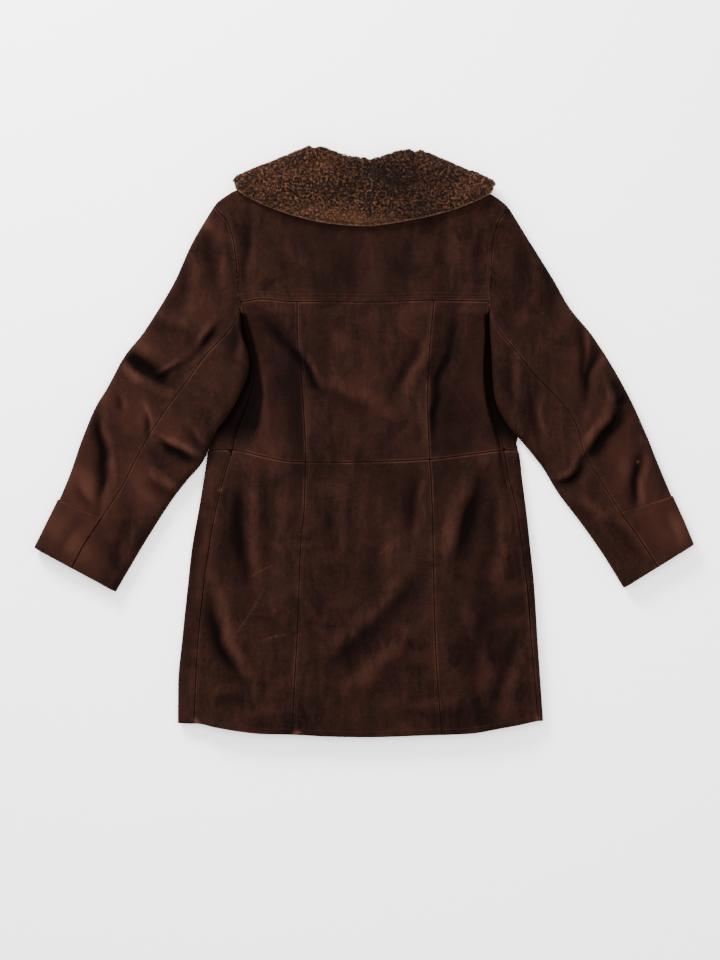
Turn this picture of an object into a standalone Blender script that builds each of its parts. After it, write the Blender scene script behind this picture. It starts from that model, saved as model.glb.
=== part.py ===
"""Shearling coat, laid on its front with the back up.

The tables are in millimetres and the model is in metres. +Z is up, +Y runs to
the collar, and the coat rests on the outer face of its fronts at z = 0.
Every panel is a flat grid, given a depth and then put in its place, so panels
that share a seam share its points, GAP apart.
"""
import math

import bmesh
import bpy

MM = 0.001
GAP = 0.3             # between two pieces at a seam
WALL = 4.0            # hide with its wool pressed flat
HALF_GAP = GAP / 2
BACK_HEIGHT = 28.0    # top of the back panels over the ground
FRONT_RAISE = 10.0    # the fronts lie on the collar's front fall
CHANNEL = 3.4         # the button strip stands this far off the ground
OVERLAP_Z = 8.2       # the inner front lies this high, over the outer one
OVERLAP_X = 35.0      # each front passes the centre by this much
SHOULDER_ROLL = 8.0   # how far in from the shoulder the cloth turns down
SHOULDER_GAP = 0.9    # from the shoulder seam to each side, where the rows are coarse
BACK_RISE = 2.0       # the back lies this much higher over the shoulders, from BACK_RISE_Y on
BACK_RISE_Y = 250.0
BACK_RISE_RUN = 120.0
FOLDS_END = 225.0     # no folds above this row, faded out over the next FOLDS_FADE
FOLDS_FADE = 10.0
FRONT_RISE_RUN = 25.0  # how soon the front rises on to the collar
STRIP_X = 50.0        # where the outer front starts to rise into its button strip
STRIP_RUN = 10.0
INNER_X = 62.0        # where the inner front starts to rise on to the outer one
INNER_RUN = 16.0
FRONT_AIR = 0.8       # between the two fronts where the collar lifts both
NECK_X = 79.0         # the shoulder turns down from here outwards, over NECK_RUN
NECK_RUN = 10.0
FOOT_CLEAR = 1.5      # the least from the foot of the side's turn to its seam
NARROWEST = 0.3       # the least share of a side's reach that is left inside its wall
LOWEST = 0.6          # and the least half height
SLEEVE_WIDTH = 150.0  # a sleeve is about this wide, so a seam's gap is this share of it
EDGE_ROUND = 0.2      # share of the collar's wool that is clipped away at its edge


def table(header, *rows):
    """Rows of numbers under named columns."""
    names = header.split()
    return [dict(zip(names, row)) for row in rows]


def read(rows, key, value, at):
    """A column read at a place along another one, smoothly and with no overshoot."""
    spots = [row[key] for row in rows]
    if at <= spots[0]:
        return rows[0][value]
    if at >= spots[-1]:
        return rows[-1][value]
    i = max(k for k in range(len(spots) - 1) if spots[k] <= at)
    slopes = [(rows[k + 1][value] - rows[k][value]) / (spots[k + 1] - spots[k])
              for k in range(len(spots) - 1)]

    def tangent(k):
        if k == 0 or k == len(spots) - 1:
            return slopes[min(k, len(slopes) - 1)]
        before, after = slopes[k - 1], slopes[k]
        if before * after <= 0:
            return 0.0
        return 2 * before * after / (before + after)

    width = spots[i + 1] - spots[i]
    t = (at - spots[i]) / width
    start = rows[i][value] * (1 + 2 * t) * (1 - t) ** 2
    end = rows[i + 1][value] * (3 - 2 * t) * t ** 2
    return start + end + width * (tangent(i) * t * (1 - t) ** 2 - tangent(i + 1) * t * t * (1 - t))


def mix(a, b, t):
    return a + (b - a) * t


def ease(t):
    t = min(max(t, 0.0), 1.0)
    return t * t * (3 - 2 * t)


# The body from hem to shoulder. out: outline, seam: side seam and then armhole,
# edge: where the back starts to turn down, drop: width of that turn,
# prin: princess seam, side: height at the side seam. _l is the left of the back.
BODY = table(
    "y out_l seam_l edge_l drop_l prin_l side_l prin_r edge_r drop_r seam_r out_r side_r",
    (-470, -298, -272.5, -240, 28, -114, 21, 126, 247, 28, 281.5, 290, 21),
    (-390, -297.5, -269, -236, 30, -110.5, 22, 119, 243, 29, 275, 284.5, 22),
    (-310, -290.5, -264, -230, 30, -106, 23, 114.5, 236, 29, 268, 279, 23),
    (-230, -282, -256, -223, 30, -103, 23, 112.5, 230, 28, 261.5, 274, 23),
    (-170, -275.5, -247.5, -214, 30, -101, 22, 111.5, 224, 27, 254, 268, 22),
    (-110, -265, -237, -203, 30, -95, 20, 110, 218, 24, 246, 261.5, 20),
    (-50, -255, -222, -190, 27, -93, 17, 107.5, 213, 16, 231.5, 254, 17),
    (-30, -252, -216, -184, 28, -92.5, 15.5, 106, 213, 12, 228, 252, 15.5),
    (-10, -249.5, -210, -174, 32, -92.5, 14, 105, 213, 9, 224, 248.5, 14),
    (15, -237, -204, -162, 38, -93.5, 13, 104, 208, 7, 219, 237, 13),
    (35, -223.5, -197, -157, 30, -94.5, 12.5, 103, 202, 6, 211, 223.5, 12.5),
    (72, -199, -183, -156, 14, -97, 12, 102, 193.5, 5, 201, 208.5, 12),
    (110, -184, -173.5, -162, 8, -99.5, 12, 103.5, 191, 4, 197.5, 204.5, 12),
    (140, -181.5, -174, -168, 4, -103, 13, 105, 191.5, 3, 197, 203.5, 13),
    (172, -187.5, -181, -176, 4, -105.5, 17, 107, 193, 3, 196.5, 201.8, 17),
    (205, -195.2, -190.5, -186, 4, -106, 25, 110.5, 192, 3, 195.5, 199.8, 25),
    (210, -196, -197, -188, 4, -106, 28, 111, 193, 3, 200.5, 201, 28),
    (226, -197, -198, -188, 4, -106, 28, 112, 193, 3, 201, 202, 28),
    (265, -201, -202, -190, 5, -107, 28, 113, 193, 5, 203, 204, 28),
    (313, -205, -206, -192, 5, -108, 28, 114, 194, 5, 206, 207, 28),
    (352, -215, -216.5, -200, 6, -109, 28, 115, 203, 6, 215, 216, 28),
    (382, -237, -238.5, -215, 8, -110, 28, 116, 216, 8, 233, 234, 28),
    (440, -240, -240, -215, 8, -112, 28, 117, 217, 8, 236, 237, 28),
)

# Seams that cross the body, from the left of the back to the right.
CROSS = table(
    "x hem waist under underarm yoke",
    (-300, -449, -6, 205, 210, 222),
    (-268, -449, -7, 205, 210, 222),
    (-234, -455, -8, 205, 210, 223),
    (-200, -461, -12, 205, 210, 225),
    (-161, -465, -21, 205, 210, 230),
    (-114, -466, -29.5, 205, 210, 226),
    (-57, -469, -31, 205, 210, 226),
    (10, -470, -30, 205, 210, 225),
    (106, -467, -26, 205, 210, 228),
    (165, -465, -19, 205, 210, 227),
    (226, -455, -11, 205, 210, 226),
    (290, -443, -5, 205, 210, 226),
)

# Shoulder line with the neckline between the neck points, on the back and the front.
SHOULDER = table(
    "x back front",
    (-242, 377, 377), (-234, 386, 386), (-222, 395, 395), (-207, 403.5, 403.5), (-180, 411, 411),
    (-130, 423, 423), (-88, 434, 434), (-78, 431, 402), (-60, 427, 371), (-35, 424, 354),
    (0, 423, 347), (35, 424, 354), (60, 427, 371), (78, 430, 402), (88, 432.5, 432.5),
    (130, 421, 421), (180, 408, 408), (209, 396, 396), (222, 387, 387), (236, 375, 375),
)

# How far up the front lies clear on the collar's front fall.
FRONT_REST = table("x y", (0, 228), (100, 228), (130, 240), (165, 262), (185, 288), (199, 318),
                   (206, 372), (214, 440), (300, 600))

# Folds in the back: a line from (x0, y0) to (x1, y1), its half width and its depth.
FOLDS = table(
    "x0 y0 x1 y1 width depth",
    (-118, 212, -113, 105, 12, -3.0),
    (-125, 190, -72, 80, 14, -3.0),
    (116, 212, 112, 0, 9, -3.5),
    (100, 190, 46, 70, 13, -2.0),
    (-212, -90, -195, -230, 15, -3.0),
    (-250, -262, -190, -400, 13, -2.5),
    (-60, -372, 90, -212, 22, -2.0),
    (172, -60, 155, -190, 16, -3.0),
    (205, -250, 232, -420, 18, -1.5),
    (-150, 90, -140, -10, 14, 1.5),
    (60, 60, 70, -20, 22, 1.2),
)

SLEEVE_FOLDS = table(
    "x0 y0 x1 y1 width depth",
    (-378, 132, -300, 92, 15, -4.5),
    (-345, 62, -330, 5, 10, -3.0),
    (-425, 40, -412, -90, 16, -2.5),
    (-262, 165, -240, 110, 9, 2.0),
    (345, -10, 418, 72, 12, -5.0),
    (352, 150, 358, 66, 12, -3.0),
    (300, -70, 345, -20, 9, -3.0),
    (432, -30, 426, -100, 14, -2.5),
)

# Sleeves from armhole to cuff. a: outer outline, b: inner outline, seam and under:
# where the seams lie across the upper and the lower layer, high: the tube's height.
SLEEVE_L = table(
    "a_x a_y b_x b_y seam under high",
    (-238.5, 381, -197, 210, 0.97, 0.75, 28),
    (-274, 322, -195, 176, 0.855, 0.72, 28),
    (-306, 253, -183.5, 139, 0.69, 0.68, 28),
    (-351, 180, -187, 105, 0.58, 0.62, 27),
    (-382, 141, -209, 57, 0.557, 0.58, 27),
    (-410, 90, -238, 15, 0.532, 0.55, 26),
    (-431, 55, -257, -29, 0.508, 0.52, 26),
    (-452, 4, -283, -60, 0.512, 0.50, 25),
    (-470, -48, -309, -94, 0.513, 0.50, 24),
    (-488, -91, -345, -150, 0.483, 0.50, 24),
    (-507, -130, -372, -195, 0.455, 0.50, 24),
    (-526, -168, -397, -238, 0.454, 0.50, 24),
)
SLEEVE_R = table(
    "a_x a_y b_x b_y seam under high",
    (233, 379, 201.5, 210, 0.97, 0.75, 28),
    (267, 323, 203.5, 172, 0.88, 0.72, 28),
    (303, 265, 205.5, 139, 0.776, 0.68, 28),
    (329, 219, 207, 105, 0.671, 0.64, 28),
    (367, 172, 212, 66, 0.599, 0.60, 27),
    (401, 119, 231, 28, 0.531, 0.56, 27),
    (430, 66, 255, 1, 0.52, 0.54, 26),
    (455, 10, 287, -39, 0.60, 0.52, 25),
    (471, -30, 312, -80, 0.579, 0.50, 24),
    (494, -85, 350, -130, 0.574, 0.50, 24),
    (512, -125, 385, -180, 0.546, 0.50, 24),
    (528, -163, 417, -232, 0.515, 0.50, 24),
)
BAND_START = 9        # the station where the cuff band begins
BAND = 2.0            # its thickness

# Collar halves from the centre back round the neck to the front. turn: 90 on the
# back, 0 at the side of the neck, -90 on the front.
COLLAR_L = table(
    "turn roll_x roll_y edge_x edge_y neck_x neck_y",
    (90, 9.85, 452, 9.85, 345.5, 9.85, 425.5),
    (90, -18, 455, -35, 347, -13, 425.5),
    (90, -42, 460, -85, 355, -36, 427.5),
    (90, -58, 460, -132, 370, -56, 430.5),
    (90, -67, 454.5, -168, 388, -70, 434),
    (90, -71.5, 453.5, -192, 404, -79, 438),
    (52, -71.5, 453.5, -192, 404, -79, 438),
    (18, -71.5, 453.5, -192, 404, -79, 438),
    (-18, -71.5, 453.5, -192, 404, -79, 438),
    (-52, -71.5, 453.5, -192, 404, -79, 438),
    (-90, -71.5, 453.5, -192, 404, -77, 436),
    (-90, -66, 440, -170, 348, -74, 422),
    (-90, -58, 420, -120, 302, -72, 402),
    (-90, -42, 394, -74, 278, -50, 374),
    (-90, -22, 376, -38, 280, -27, 358),
    (-90, -4, 368, -6, 310, -4, 352),
)
COLLAR_R = table(
    "turn roll_x roll_y edge_x edge_y neck_x neck_y",
    (90, 10.15, 452, 10.15, 345.5, 10.15, 425.5),
    (90, 28, 455, 45, 350, 24, 425.5),
    (90, 48, 458, 90, 358, 42, 427.5),
    (90, 62, 454, 136, 370, 60, 430.5),
    (90, 71, 447, 172, 387, 73, 432),
    (90, 76, 445.5, 196, 400, 80, 436),
    (52, 76, 445.5, 196, 400, 80, 436),
    (18, 76, 445.5, 196, 400, 80, 436),
    (-18, 76, 445.5, 196, 400, 80, 436),
    (-52, 76, 445.5, 196, 400, 80, 436),
    (-90, 76, 445.5, 196, 400, 78, 434),
    (-90, 68, 436, 172, 346, 75, 420),
    (-90, 59, 418, 120, 302, 72, 402),
    (-90, 42, 394, 74, 278, 50, 374),
    (-90, 22, 376, 38, 280, 27, 358),
    (-90, 4, 368, 6, 310, 4, 352),
)
COLLAR_MID = 19.75    # height of the fold round the side of the neck
COLLAR_CORE = 11.25   # inner radius of that fold
FALL = 11.0           # wool and hide of the fall on the back
FALL_BELOW = 8.5      # the same, pressed by the coat that lies on it
STAND = 5.5
CREASE = 1.3          # between fall and stand

BUTTON_Y = (190, 90, -10, -110)
BUTTON_RADIUS = 14.0
BUTTON_HEIGHT = 3.0

SUEDE = (0.075, 0.030, 0.018)
WOOL = (0.22, 0.12, 0.06)
HORN = (0.03, 0.015, 0.01)

coat = bpy.data.collections.new("shearling_coat")


def start_empty():
    for thing in list(bpy.data.objects):
        bpy.data.objects.remove(thing, do_unlink=True)
    bpy.context.scene.collection.children.link(coat)


def finish_piece(name, mesh, colour, roughness):
    material = bpy.data.materials.new(name)
    material.use_nodes = True
    shader = material.node_tree.nodes["Principled BSDF"]
    shader.inputs["Base Color"].default_value = (*colour, 1)
    shader.inputs["Roughness"].default_value = roughness
    mesh.materials.append(material)
    piece = bpy.data.objects.new(name, mesh)
    coat.objects.link(piece)
    return piece


def cloth(name, columns, rows, place, colour=SUEDE, leave_out=None):
    """A grid with a depth, each corner put where place(column, row, depth) says."""
    bm = bmesh.new()
    bmesh.ops.create_grid(bm, x_segments=columns, y_segments=rows, size=0.5)
    for corner in bm.verts:
        corner.co.x = round((corner.co.x + 0.5) * columns)
        corner.co.y = round((corner.co.y + 0.5) * rows)
    if leave_out:
        gone = [f for f in bm.faces if leave_out(*f.calc_center_median()[:2])]
        bmesh.ops.delete(bm, geom=gone, context="FACES")
    made = bmesh.ops.extrude_face_region(bm, geom=bm.faces[:])["geom"]
    for part in made:
        if isinstance(part, bmesh.types.BMVert):
            part.co.z = 1
    for corner in bm.verts:
        spot = place(round(corner.co.x), round(corner.co.y), corner.co.z)
        corner.co = [value * MM for value in spot]
    bmesh.ops.recalc_face_normals(bm, faces=bm.faces[:])
    if bm.calc_volume(signed=True) < 0:
        bmesh.ops.reverse_faces(bm, faces=bm.faces[:])
    mesh = bpy.data.meshes.new(name)
    bm.to_mesh(mesh)
    bm.free()
    return finish_piece(name, mesh, colour, 0.9)


def body(column, y):
    return read(BODY, "y", column, y)


def folds(rows, x, y):
    """The sum of soft troughs and ridges at a place."""
    total = 0.0
    for row in rows:
        along_x, along_y = row["x1"] - row["x0"], row["y1"] - row["y0"]
        length = math.hypot(along_x, along_y)
        t = ((x - row["x0"]) * along_x + (y - row["y0"]) * along_y) / length ** 2
        off = ((x - row["x0"]) * along_y - (y - row["y0"]) * along_x) / length
        past = max(-t, t - 1, 0) * length
        total += row["depth"] * math.exp(-(off ** 2 + past ** 2) / row["width"] ** 2)
    return total


def front_lift(x, y):
    """How far the collar's front fall lifts the front off the ground."""
    rest = read(FRONT_REST, "x", "y", abs(x))
    return FRONT_RAISE * ease((y - rest + FRONT_RISE_RUN) / FRONT_RISE_RUN)


def shoulder_turn(x, y, side):
    """0 on the flat, 1 at the shoulder line, round like a fold."""
    reach = (read(SHOULDER, "x", side, x) - y) / SHOULDER_ROLL
    bend = 1 - math.sqrt(max(0.0, 1 - (1 - min(max(reach, 0), 1)) ** 2))
    return bend * ease((abs(x) - NECK_X) / NECK_RUN)


def back_height(x, y):
    """Outer face of the back over the ground."""
    level = BACK_HEIGHT + BACK_RISE * ease((y - BACK_RISE_Y) / BACK_RISE_RUN)
    if x < body("prin_l", y):
        turned = (body("edge_l", y) - x) / body("drop_l", y)
        level = mix(level, body("side_l", y), ease(turned))
    if x > body("prin_r", y):
        turned = (x - body("edge_r", y)) / body("drop_r", y)
        level = mix(level, body("side_r", y), ease(turned))
    level += folds(FOLDS, x, y) * (1 - ease((y - FOLDS_END) / FOLDS_FADE))
    seam = (level + front_lift(x, y)) / 2 + SHOULDER_GAP + WALL
    return mix(level, seam, shoulder_turn(x, y, "back"))


# ---- rows and columns that all body panels share ----

LINES = ("hem", "waist", "under", "underarm", "yoke", "shoulder")
STEPS = {"hem": 9, "waist": 7, "under": 1, "underarm": 1, "yoke": 6}
YOKE_SHARES = (0.0, 0.28, 0.56, 0.84)       # rows up the yoke, as shares of it
SHOULDER_ROWS = (-8.0, -2.5, 0.0)           # and the last rows, mm from the shoulder line
BELOW_HEM, ABOVE_COLLAR = -520.0, 480.0     # no row is outside these
HALVINGS = 34


def row_height(line, step, x, side="back"):
    """The y of a row: `step` of the steps from one line to the next."""
    if line == "yoke":
        low = read(CROSS, "x", "yoke", x)
        high = read(SHOULDER, "x", side, x)
        if step >= len(YOKE_SHARES):
            return high + SHOULDER_ROWS[step - len(YOKE_SHARES)]
        return mix(low, high - SHOULDER_ROLL, YOKE_SHARES[step])
    low = read(CROSS, "x", line, x)
    high = read(CROSS, "x", LINES[LINES.index(line) + 1], x)
    return mix(low, high, step / STEPS[line])


def meet(column, line, step, side="back"):
    """Where a column, x as a function of y, crosses a row."""
    low, high = BELOW_HEM, ABOVE_COLLAR
    for _ in range(HALVINGS):
        y = (low + high) / 2
        if y < row_height(line, step, column(y), side):
            low = y
        else:
            high = y
    return column(y), y


def side_column(hand, index):
    """Seven strips from the side seam to the princess seam."""
    def column(y):
        seam, edge = body("seam" + hand, y), body("edge" + hand, y)
        prin, drop = body("prin" + hand, y), body("drop" + hand, y)
        out = -1 if hand == "_l" else 1
        foot = edge + out * min(drop, abs(seam - edge) - FOOT_CLEAR)
        return (seam, mix(seam, foot, 0.5), foot, mix(foot, edge, 0.5), edge,
                mix(edge, prin, 0.35), mix(edge, prin, 0.7), prin)[index]
    return column


def centre_column(index, count=6):
    return lambda y: mix(body("prin_l", y), body("prin_r", y), index / count)


BACK_COLUMNS = ([side_column("_l", i) for i in range(8)]
                + [centre_column(i) for i in range(1, 6)]
                + [side_column("_r", i) for i in range(7, -1, -1)])


def back_panel(name, first, last, blocks):
    """A panel of the back between two columns and over one or more row blocks."""
    steps = [(line, step) for line in blocks for step in range(STEPS[line])]
    steps.append((blocks[-1], STEPS[blocks[-1]]))

    def place(i, j, depth):
        x, y = meet(BACK_COLUMNS[first + i], *steps[j])
        z = back_height(x, y) - WALL * (1 - depth)
        x += HALF_GAP * ((i == 0) - (i == last - first))
        y += HALF_GAP * ((j == 0) - (j == len(steps) - 1))
        return x, y, z

    cloth(name, last - first, len(steps) - 1, place)


def make_back():
    for name, first, last in (("left", 0, 7), ("right", 13, 20)):
        back_panel("back_side_lower_" + name, first, last, ["hem"])
        back_panel("back_side_upper_" + name, first, last, ["waist", "under", "underarm"])
    back_panel("back_center_lower", 7, 13, ["hem"])
    back_panel("back_center_upper", 7, 13, ["waist", "under", "underarm"])
    back_panel("back_yoke", 0, 20, ["yoke"])


# ---- fronts: they wrap round the sides and lie underneath ----

WRAP = 5                                     # strips round the side
FRONT_X = (211, 199, 165, 130, 102, 88, 78, 60, 46, 40)


def front_floor(x, y, outer):
    """Height of the outer face of a front where it lies underneath."""
    if outer:
        strip = CHANNEL * ease((STRIP_X - x) / STRIP_RUN)
    else:
        strip = OVERLAP_Z * ease((x + INNER_X) / INNER_RUN)
    return max(strip, front_lift(x, y)) + (0 if outer else (WALL + FRONT_AIR) * raised(x, y))


def raised(x, y):
    """1 where the collar lifts both fronts, so that the inner one still lies on the outer."""
    return ease((x + INNER_X) / INNER_RUN) * ease(front_lift(x, y) / 3)


def front_panel(name, hand, blocks, outer):
    """A front from the side seam round to its edge past the centre."""
    out = -1 if hand == "_l" else 1
    steps = [(line, step) for line in blocks for step in range(STEPS[line])]
    steps.append((blocks[-1], STEPS[blocks[-1]]))
    inner = [out * value for value in FRONT_X] + [0, -out * OVERLAP_X]
    columns = WRAP + len(inner)
    armhole = next((k for k, (line, step) in enumerate(steps) if line == "underarm"), len(steps))

    def place(i, j, depth):
        line, step = steps[j]
        inset = (1 - depth) * WALL
        seam_x, seam_y = meet(lambda y: body("seam" + hand, y), line, step, "front")
        shift_y = HALF_GAP * ((j == 0) - (j == len(steps) - 1))
        if i < WRAP or (i == WRAP and j < armhole):
            high = back_height(seam_x, seam_y)
            reach = abs(body("out" + hand, seam_y) - seam_x)
            angle = math.radians(90 - 180 * i / WRAP)
            wide = max(reach - inset, reach * NARROWEST)
            tall = max(high / 2 - inset, LOWEST)
            start = seam_x + out * HALF_GAP
            x = start + out * (wide - HALF_GAP) * math.cos(angle) if 0 < i < WRAP else start
            return x, seam_y + shift_y, high / 2 + tall * math.sin(angle)
        if i == WRAP:
            x = seam_x - out * HALF_GAP
            y = seam_y
        else:
            limit = abs(seam_x) - 2.0 * (i - WRAP)
            at = inner[i - WRAP - 1]
            if i - WRAP <= 3:
                at = out * min(abs(at), limit)
            x, y = meet(lambda y: at, line, step, "front")
        low = front_floor(x, y, outer)
        if line == "yoke":
            top = back_height(x, min(y, read(SHOULDER, "x", "back", x) - SHOULDER_ROLL))
            seam = (top + front_lift(x, y)) / 2 - SHOULDER_GAP - WALL
            low = mix(low, seam, shoulder_turn(x, y, "front"))
        return x, y + shift_y, low + inset

    def beyond_armhole(i, j):
        return i < WRAP and j > armhole - 1

    cloth(name, columns, len(steps) - 1, place, leave_out=beyond_armhole)


def make_fronts():
    for name, hand, outer in (("left", "_l", False), ("right", "_r", True)):
        front_panel("front_lower_" + name, hand, ["hem"], outer)
        front_panel("front_upper_" + name, hand, ["waist", "under", "underarm", "yoke"], outer)


# ---- sleeves: flattened tubes of two pieces, with a band at the cuff ----


def armhole_points(hand):
    """The armhole in plan, from the shoulder down, with each point's share of its length."""
    marks = [("yoke", step) for step in range(STEPS["yoke"], -1, -1)] + [("underarm", 0)]
    points = [meet(lambda y: body("seam" + hand, y), *mark) for mark in marks]
    lengths = [0.0]
    for before, after in zip(points, points[1:]):
        lengths.append(lengths[-1] + math.dist(before, after))
    return points, [value / lengths[-1] for value in lengths]


class Sleeve:
    """Places a point on a sleeve: share across, station, layer and depth."""

    def __init__(self, hand, rows):
        self.out = -1 if hand == "_l" else 1
        self.rows = rows
        self.points, self.shares = armhole_points(hand)

    def armhole(self, share):
        i = max(k for k in range(len(self.shares) - 1) if self.shares[k] <= share or k == 0)
        t = (share - self.shares[i]) / (self.shares[i + 1] - self.shares[i])
        start, end = self.points[i], self.points[i + 1]
        return mix(start[0], end[0], t), mix(start[1], end[1], t)

    def plan(self, share, station):
        row, first = self.rows[station], self.rows[0]
        x = mix(row["a_x"], row["b_x"], share)
        y = mix(row["a_y"], row["b_y"], share)
        bow = (0.0, 0.0)
        fade = max(0.0, 1 - station / 4) ** 2
        if fade:
            seam = self.armhole(share)
            bow = (seam[0] - mix(first["a_x"], first["b_x"], share),
                   seam[1] - mix(first["a_y"], first["b_y"], share))
        return x + bow[0] * fade, y + bow[1] * fade

    def spot(self, share, station, upper, inset, lift=0.0):
        row = self.rows[station]
        width = math.dist((row["a_x"], row["a_y"]), (row["b_x"], row["b_y"]))
        radius = (row["high"] - lift) / 2
        near = min(share, 1 - share) * width
        lean = max(0.0, 1 - near / radius)
        rise = math.sqrt(max(0.0, 1 - lean ** 2))
        toward = 1 if share < 0.5 else -1
        moved = share + toward * inset * lean / width
        x, y = self.plan(moved, station)
        if station == 0:
            x += self.out * HALF_GAP
        middle = lift + radius
        if upper:
            fold = folds(SLEEVE_FOLDS, x, y) * rise
            return x, y, middle + (radius - inset) * rise + fold
        return x, y, middle - (radius - inset) * rise


def shares_to(sleeve, seam):
    """Shares of the way from the outer edge to a seam, with the armhole's own points."""
    return [share / seam for share in sleeve.shares if share < seam - 0.01] + [1.0]


def make_sleeve(name, hand, rows):
    sleeve = Sleeve(hand, rows)
    last = len(rows) - 1
    seam0 = rows[0]["seam"]
    under0 = min(sleeve.shares, key=lambda share: abs(share - rows[0]["under"]))
    top_up = shares_to(sleeve, seam0)
    top_low = shares_to(sleeve, under0)
    low_shares = [(1 - share) / (1 - under0) for share in sleeve.shares if share > under0 + 0.01]
    low_shares = sorted(set([0.0, 0.05, 0.17] + [s for s in low_shares if s > 0.2] + [1.0]))

    def under_share(station):
        return under0 if station == 0 else rows[station]["under"]

    # round the top sleeve: seam, outer edge, seam underneath
    ring = [("up", share) for share in reversed(top_up)] + [("low", share) for share in top_low[1:]]

    def top(i, j, depth, inset=0.0):
        layer, share = ring[i]
        row = rows[j]
        lift = BAND + GAP if j >= BAND_START else 0.0
        end = row["seam"] if layer == "up" else under_share(j)
        gap = HALF_GAP / SLEEVE_WIDTH * ((i == 0) or (i == len(ring) - 1))
        return sleeve.spot(share * end - gap, j, layer == "up", inset + (1 - depth) * WALL, lift)

    cloth("top_sleeve_" + name, len(ring) - 1, last, top)

    # round the under sleeve: seam, inner edge, seam underneath
    up_shares = [1.0, 0.5, 0.17, 0.05, 0.0]
    ring_b = [("up", share) for share in up_shares] + [("low", share) for share in low_shares[1:]]

    def under(i, j, depth):
        layer, share = ring_b[i]
        end = rows[j]["seam"] if layer == "up" else under_share(j)
        gap = HALF_GAP / SLEEVE_WIDTH * ((i == 0) or (i == len(ring_b) - 1))
        at = 1 - share * (1 - end) + gap
        return sleeve.spot(at, j, layer == "up", (1 - depth) * WALL)

    cloth("under_sleeve_" + name, len(ring_b) - 1, last, under)

    # the band lies on the top sleeve's own points, moved out
    def band(i, j, depth):
        x, y, z = top(i, j + BAND_START, 1.0, -GAP - depth * BAND)
        return x, y, max(z, 0.0)

    cloth("cuff_band_" + name, len(ring) - 1, last - BAND_START, band)


# ---- collar: each half folds over at the roll and goes round the side of the neck ----

FALL_SHARES = (1.0, 0.7, 0.4)
ROLL_TURNS = (90, 45, 0, -45, -90)


def make_collar(name, rows, out):
    side = next(row for row in rows if row["turn"] < 90)
    run = (side["edge_x"] - side["roll_x"], side["edge_y"] - side["roll_y"])
    length = math.hypot(*run)
    away = (out * abs(run[1]) / length, abs(run[0]) / length)

    def place(i, j, depth):
        row = rows[j]
        turn = math.radians(row["turn"])
        fall = mix(FALL_BELOW, FALL, (row["turn"] + 90) / 180)
        bend = (fall + CREASE + STAND) / 2
        centre = COLLAR_CORE + fall - bend
        edge = (row["edge_x"] - row["roll_x"], row["edge_y"] - row["roll_y"])
        neck = (row["neck_x"] - row["roll_x"], row["neck_y"] - row["roll_y"])
        edge_length, neck_length = math.hypot(*edge), max(math.hypot(*neck), 1.0)
        outer = depth == 1
        rolled = len(FALL_SHARES) + len(ROLL_TURNS)
        if i < len(FALL_SHARES):
            reach = FALL_SHARES[i] * edge_length
            height = COLLAR_CORE + (fall if outer else 0.0)
            if i == 0 and outer:
                height -= EDGE_ROUND * fall
            weight = 0.0
        elif i < rolled:
            angle = math.radians(ROLL_TURNS[i - len(FALL_SHARES)])
            radius = bend if outer else CREASE / 2
            middle = centre if outer else COLLAR_CORE - CREASE / 2
            reach = bend - radius * math.cos(angle) + (0.0 if outer else 1.0)
            height = middle + radius * math.sin(angle)
            weight = (i - len(FALL_SHARES)) / (len(ROLL_TURNS) - 1)
        else:
            reach = max(neck_length, bend + 3)
            height = COLLAR_CORE - CREASE - (STAND if outer else 0.0)
            weight = 1.0
        way = [mix(edge[k] / edge_length, neck[k] / neck_length, weight) for k in range(2)]
        flat, up = math.cos(turn), math.sin(turn)
        if abs(row["turn"]) == 90:
            flat = 0.0
        x = row["roll_x"] + way[0] * reach + away[0] * height * flat
        y = row["roll_y"] + way[1] * reach + away[1] * height * flat
        return x, y, COLLAR_MID + height * up

    cloth("collar_" + name, len(FALL_SHARES) + len(ROLL_TURNS), len(rows) - 1, place, WOOL)


def make_buttons():
    for number, y in enumerate(BUTTON_Y, 1):
        bm = bmesh.new()
        bmesh.ops.create_cone(bm, cap_ends=True, segments=20, radius1=BUTTON_RADIUS * MM,
                              radius2=BUTTON_RADIUS * MM, depth=BUTTON_HEIGHT * MM)
        bmesh.ops.translate(bm, verts=bm.verts[:], vec=(0, y * MM, BUTTON_HEIGHT / 2 * MM))
        mesh = bpy.data.meshes.new("button")
        bm.to_mesh(mesh)
        bm.free()
        finish_piece("button_" + str(number), mesh, HORN, 0.4)


start_empty()
make_back()
make_fronts()
make_sleeve("left", "_l", SLEEVE_L)
make_sleeve("right", "_r", SLEEVE_R)
make_collar("left", COLLAR_L, -1)
make_collar("right", COLLAR_R, 1)
make_buttons()
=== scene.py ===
import math

import bmesh
import bpy
import numpy as np
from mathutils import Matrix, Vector, noise


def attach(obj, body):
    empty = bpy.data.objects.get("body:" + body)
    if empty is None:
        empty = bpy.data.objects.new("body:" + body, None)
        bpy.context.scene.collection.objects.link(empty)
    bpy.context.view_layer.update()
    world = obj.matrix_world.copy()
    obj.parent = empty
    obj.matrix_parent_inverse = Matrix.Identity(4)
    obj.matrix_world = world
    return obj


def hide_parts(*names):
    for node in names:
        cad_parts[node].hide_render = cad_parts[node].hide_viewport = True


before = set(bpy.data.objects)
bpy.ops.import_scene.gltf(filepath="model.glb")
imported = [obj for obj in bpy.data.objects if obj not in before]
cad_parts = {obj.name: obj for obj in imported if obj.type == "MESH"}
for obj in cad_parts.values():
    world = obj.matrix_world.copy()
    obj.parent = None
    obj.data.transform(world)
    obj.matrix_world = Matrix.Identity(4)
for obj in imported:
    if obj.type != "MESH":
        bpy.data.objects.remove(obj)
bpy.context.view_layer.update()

# ---------------------------------------------------------------------------
# Ground, light and camera. The coat lies on a pale floor under a broad soft
# light, and the camera looks straight down on its back.
# ---------------------------------------------------------------------------

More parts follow.
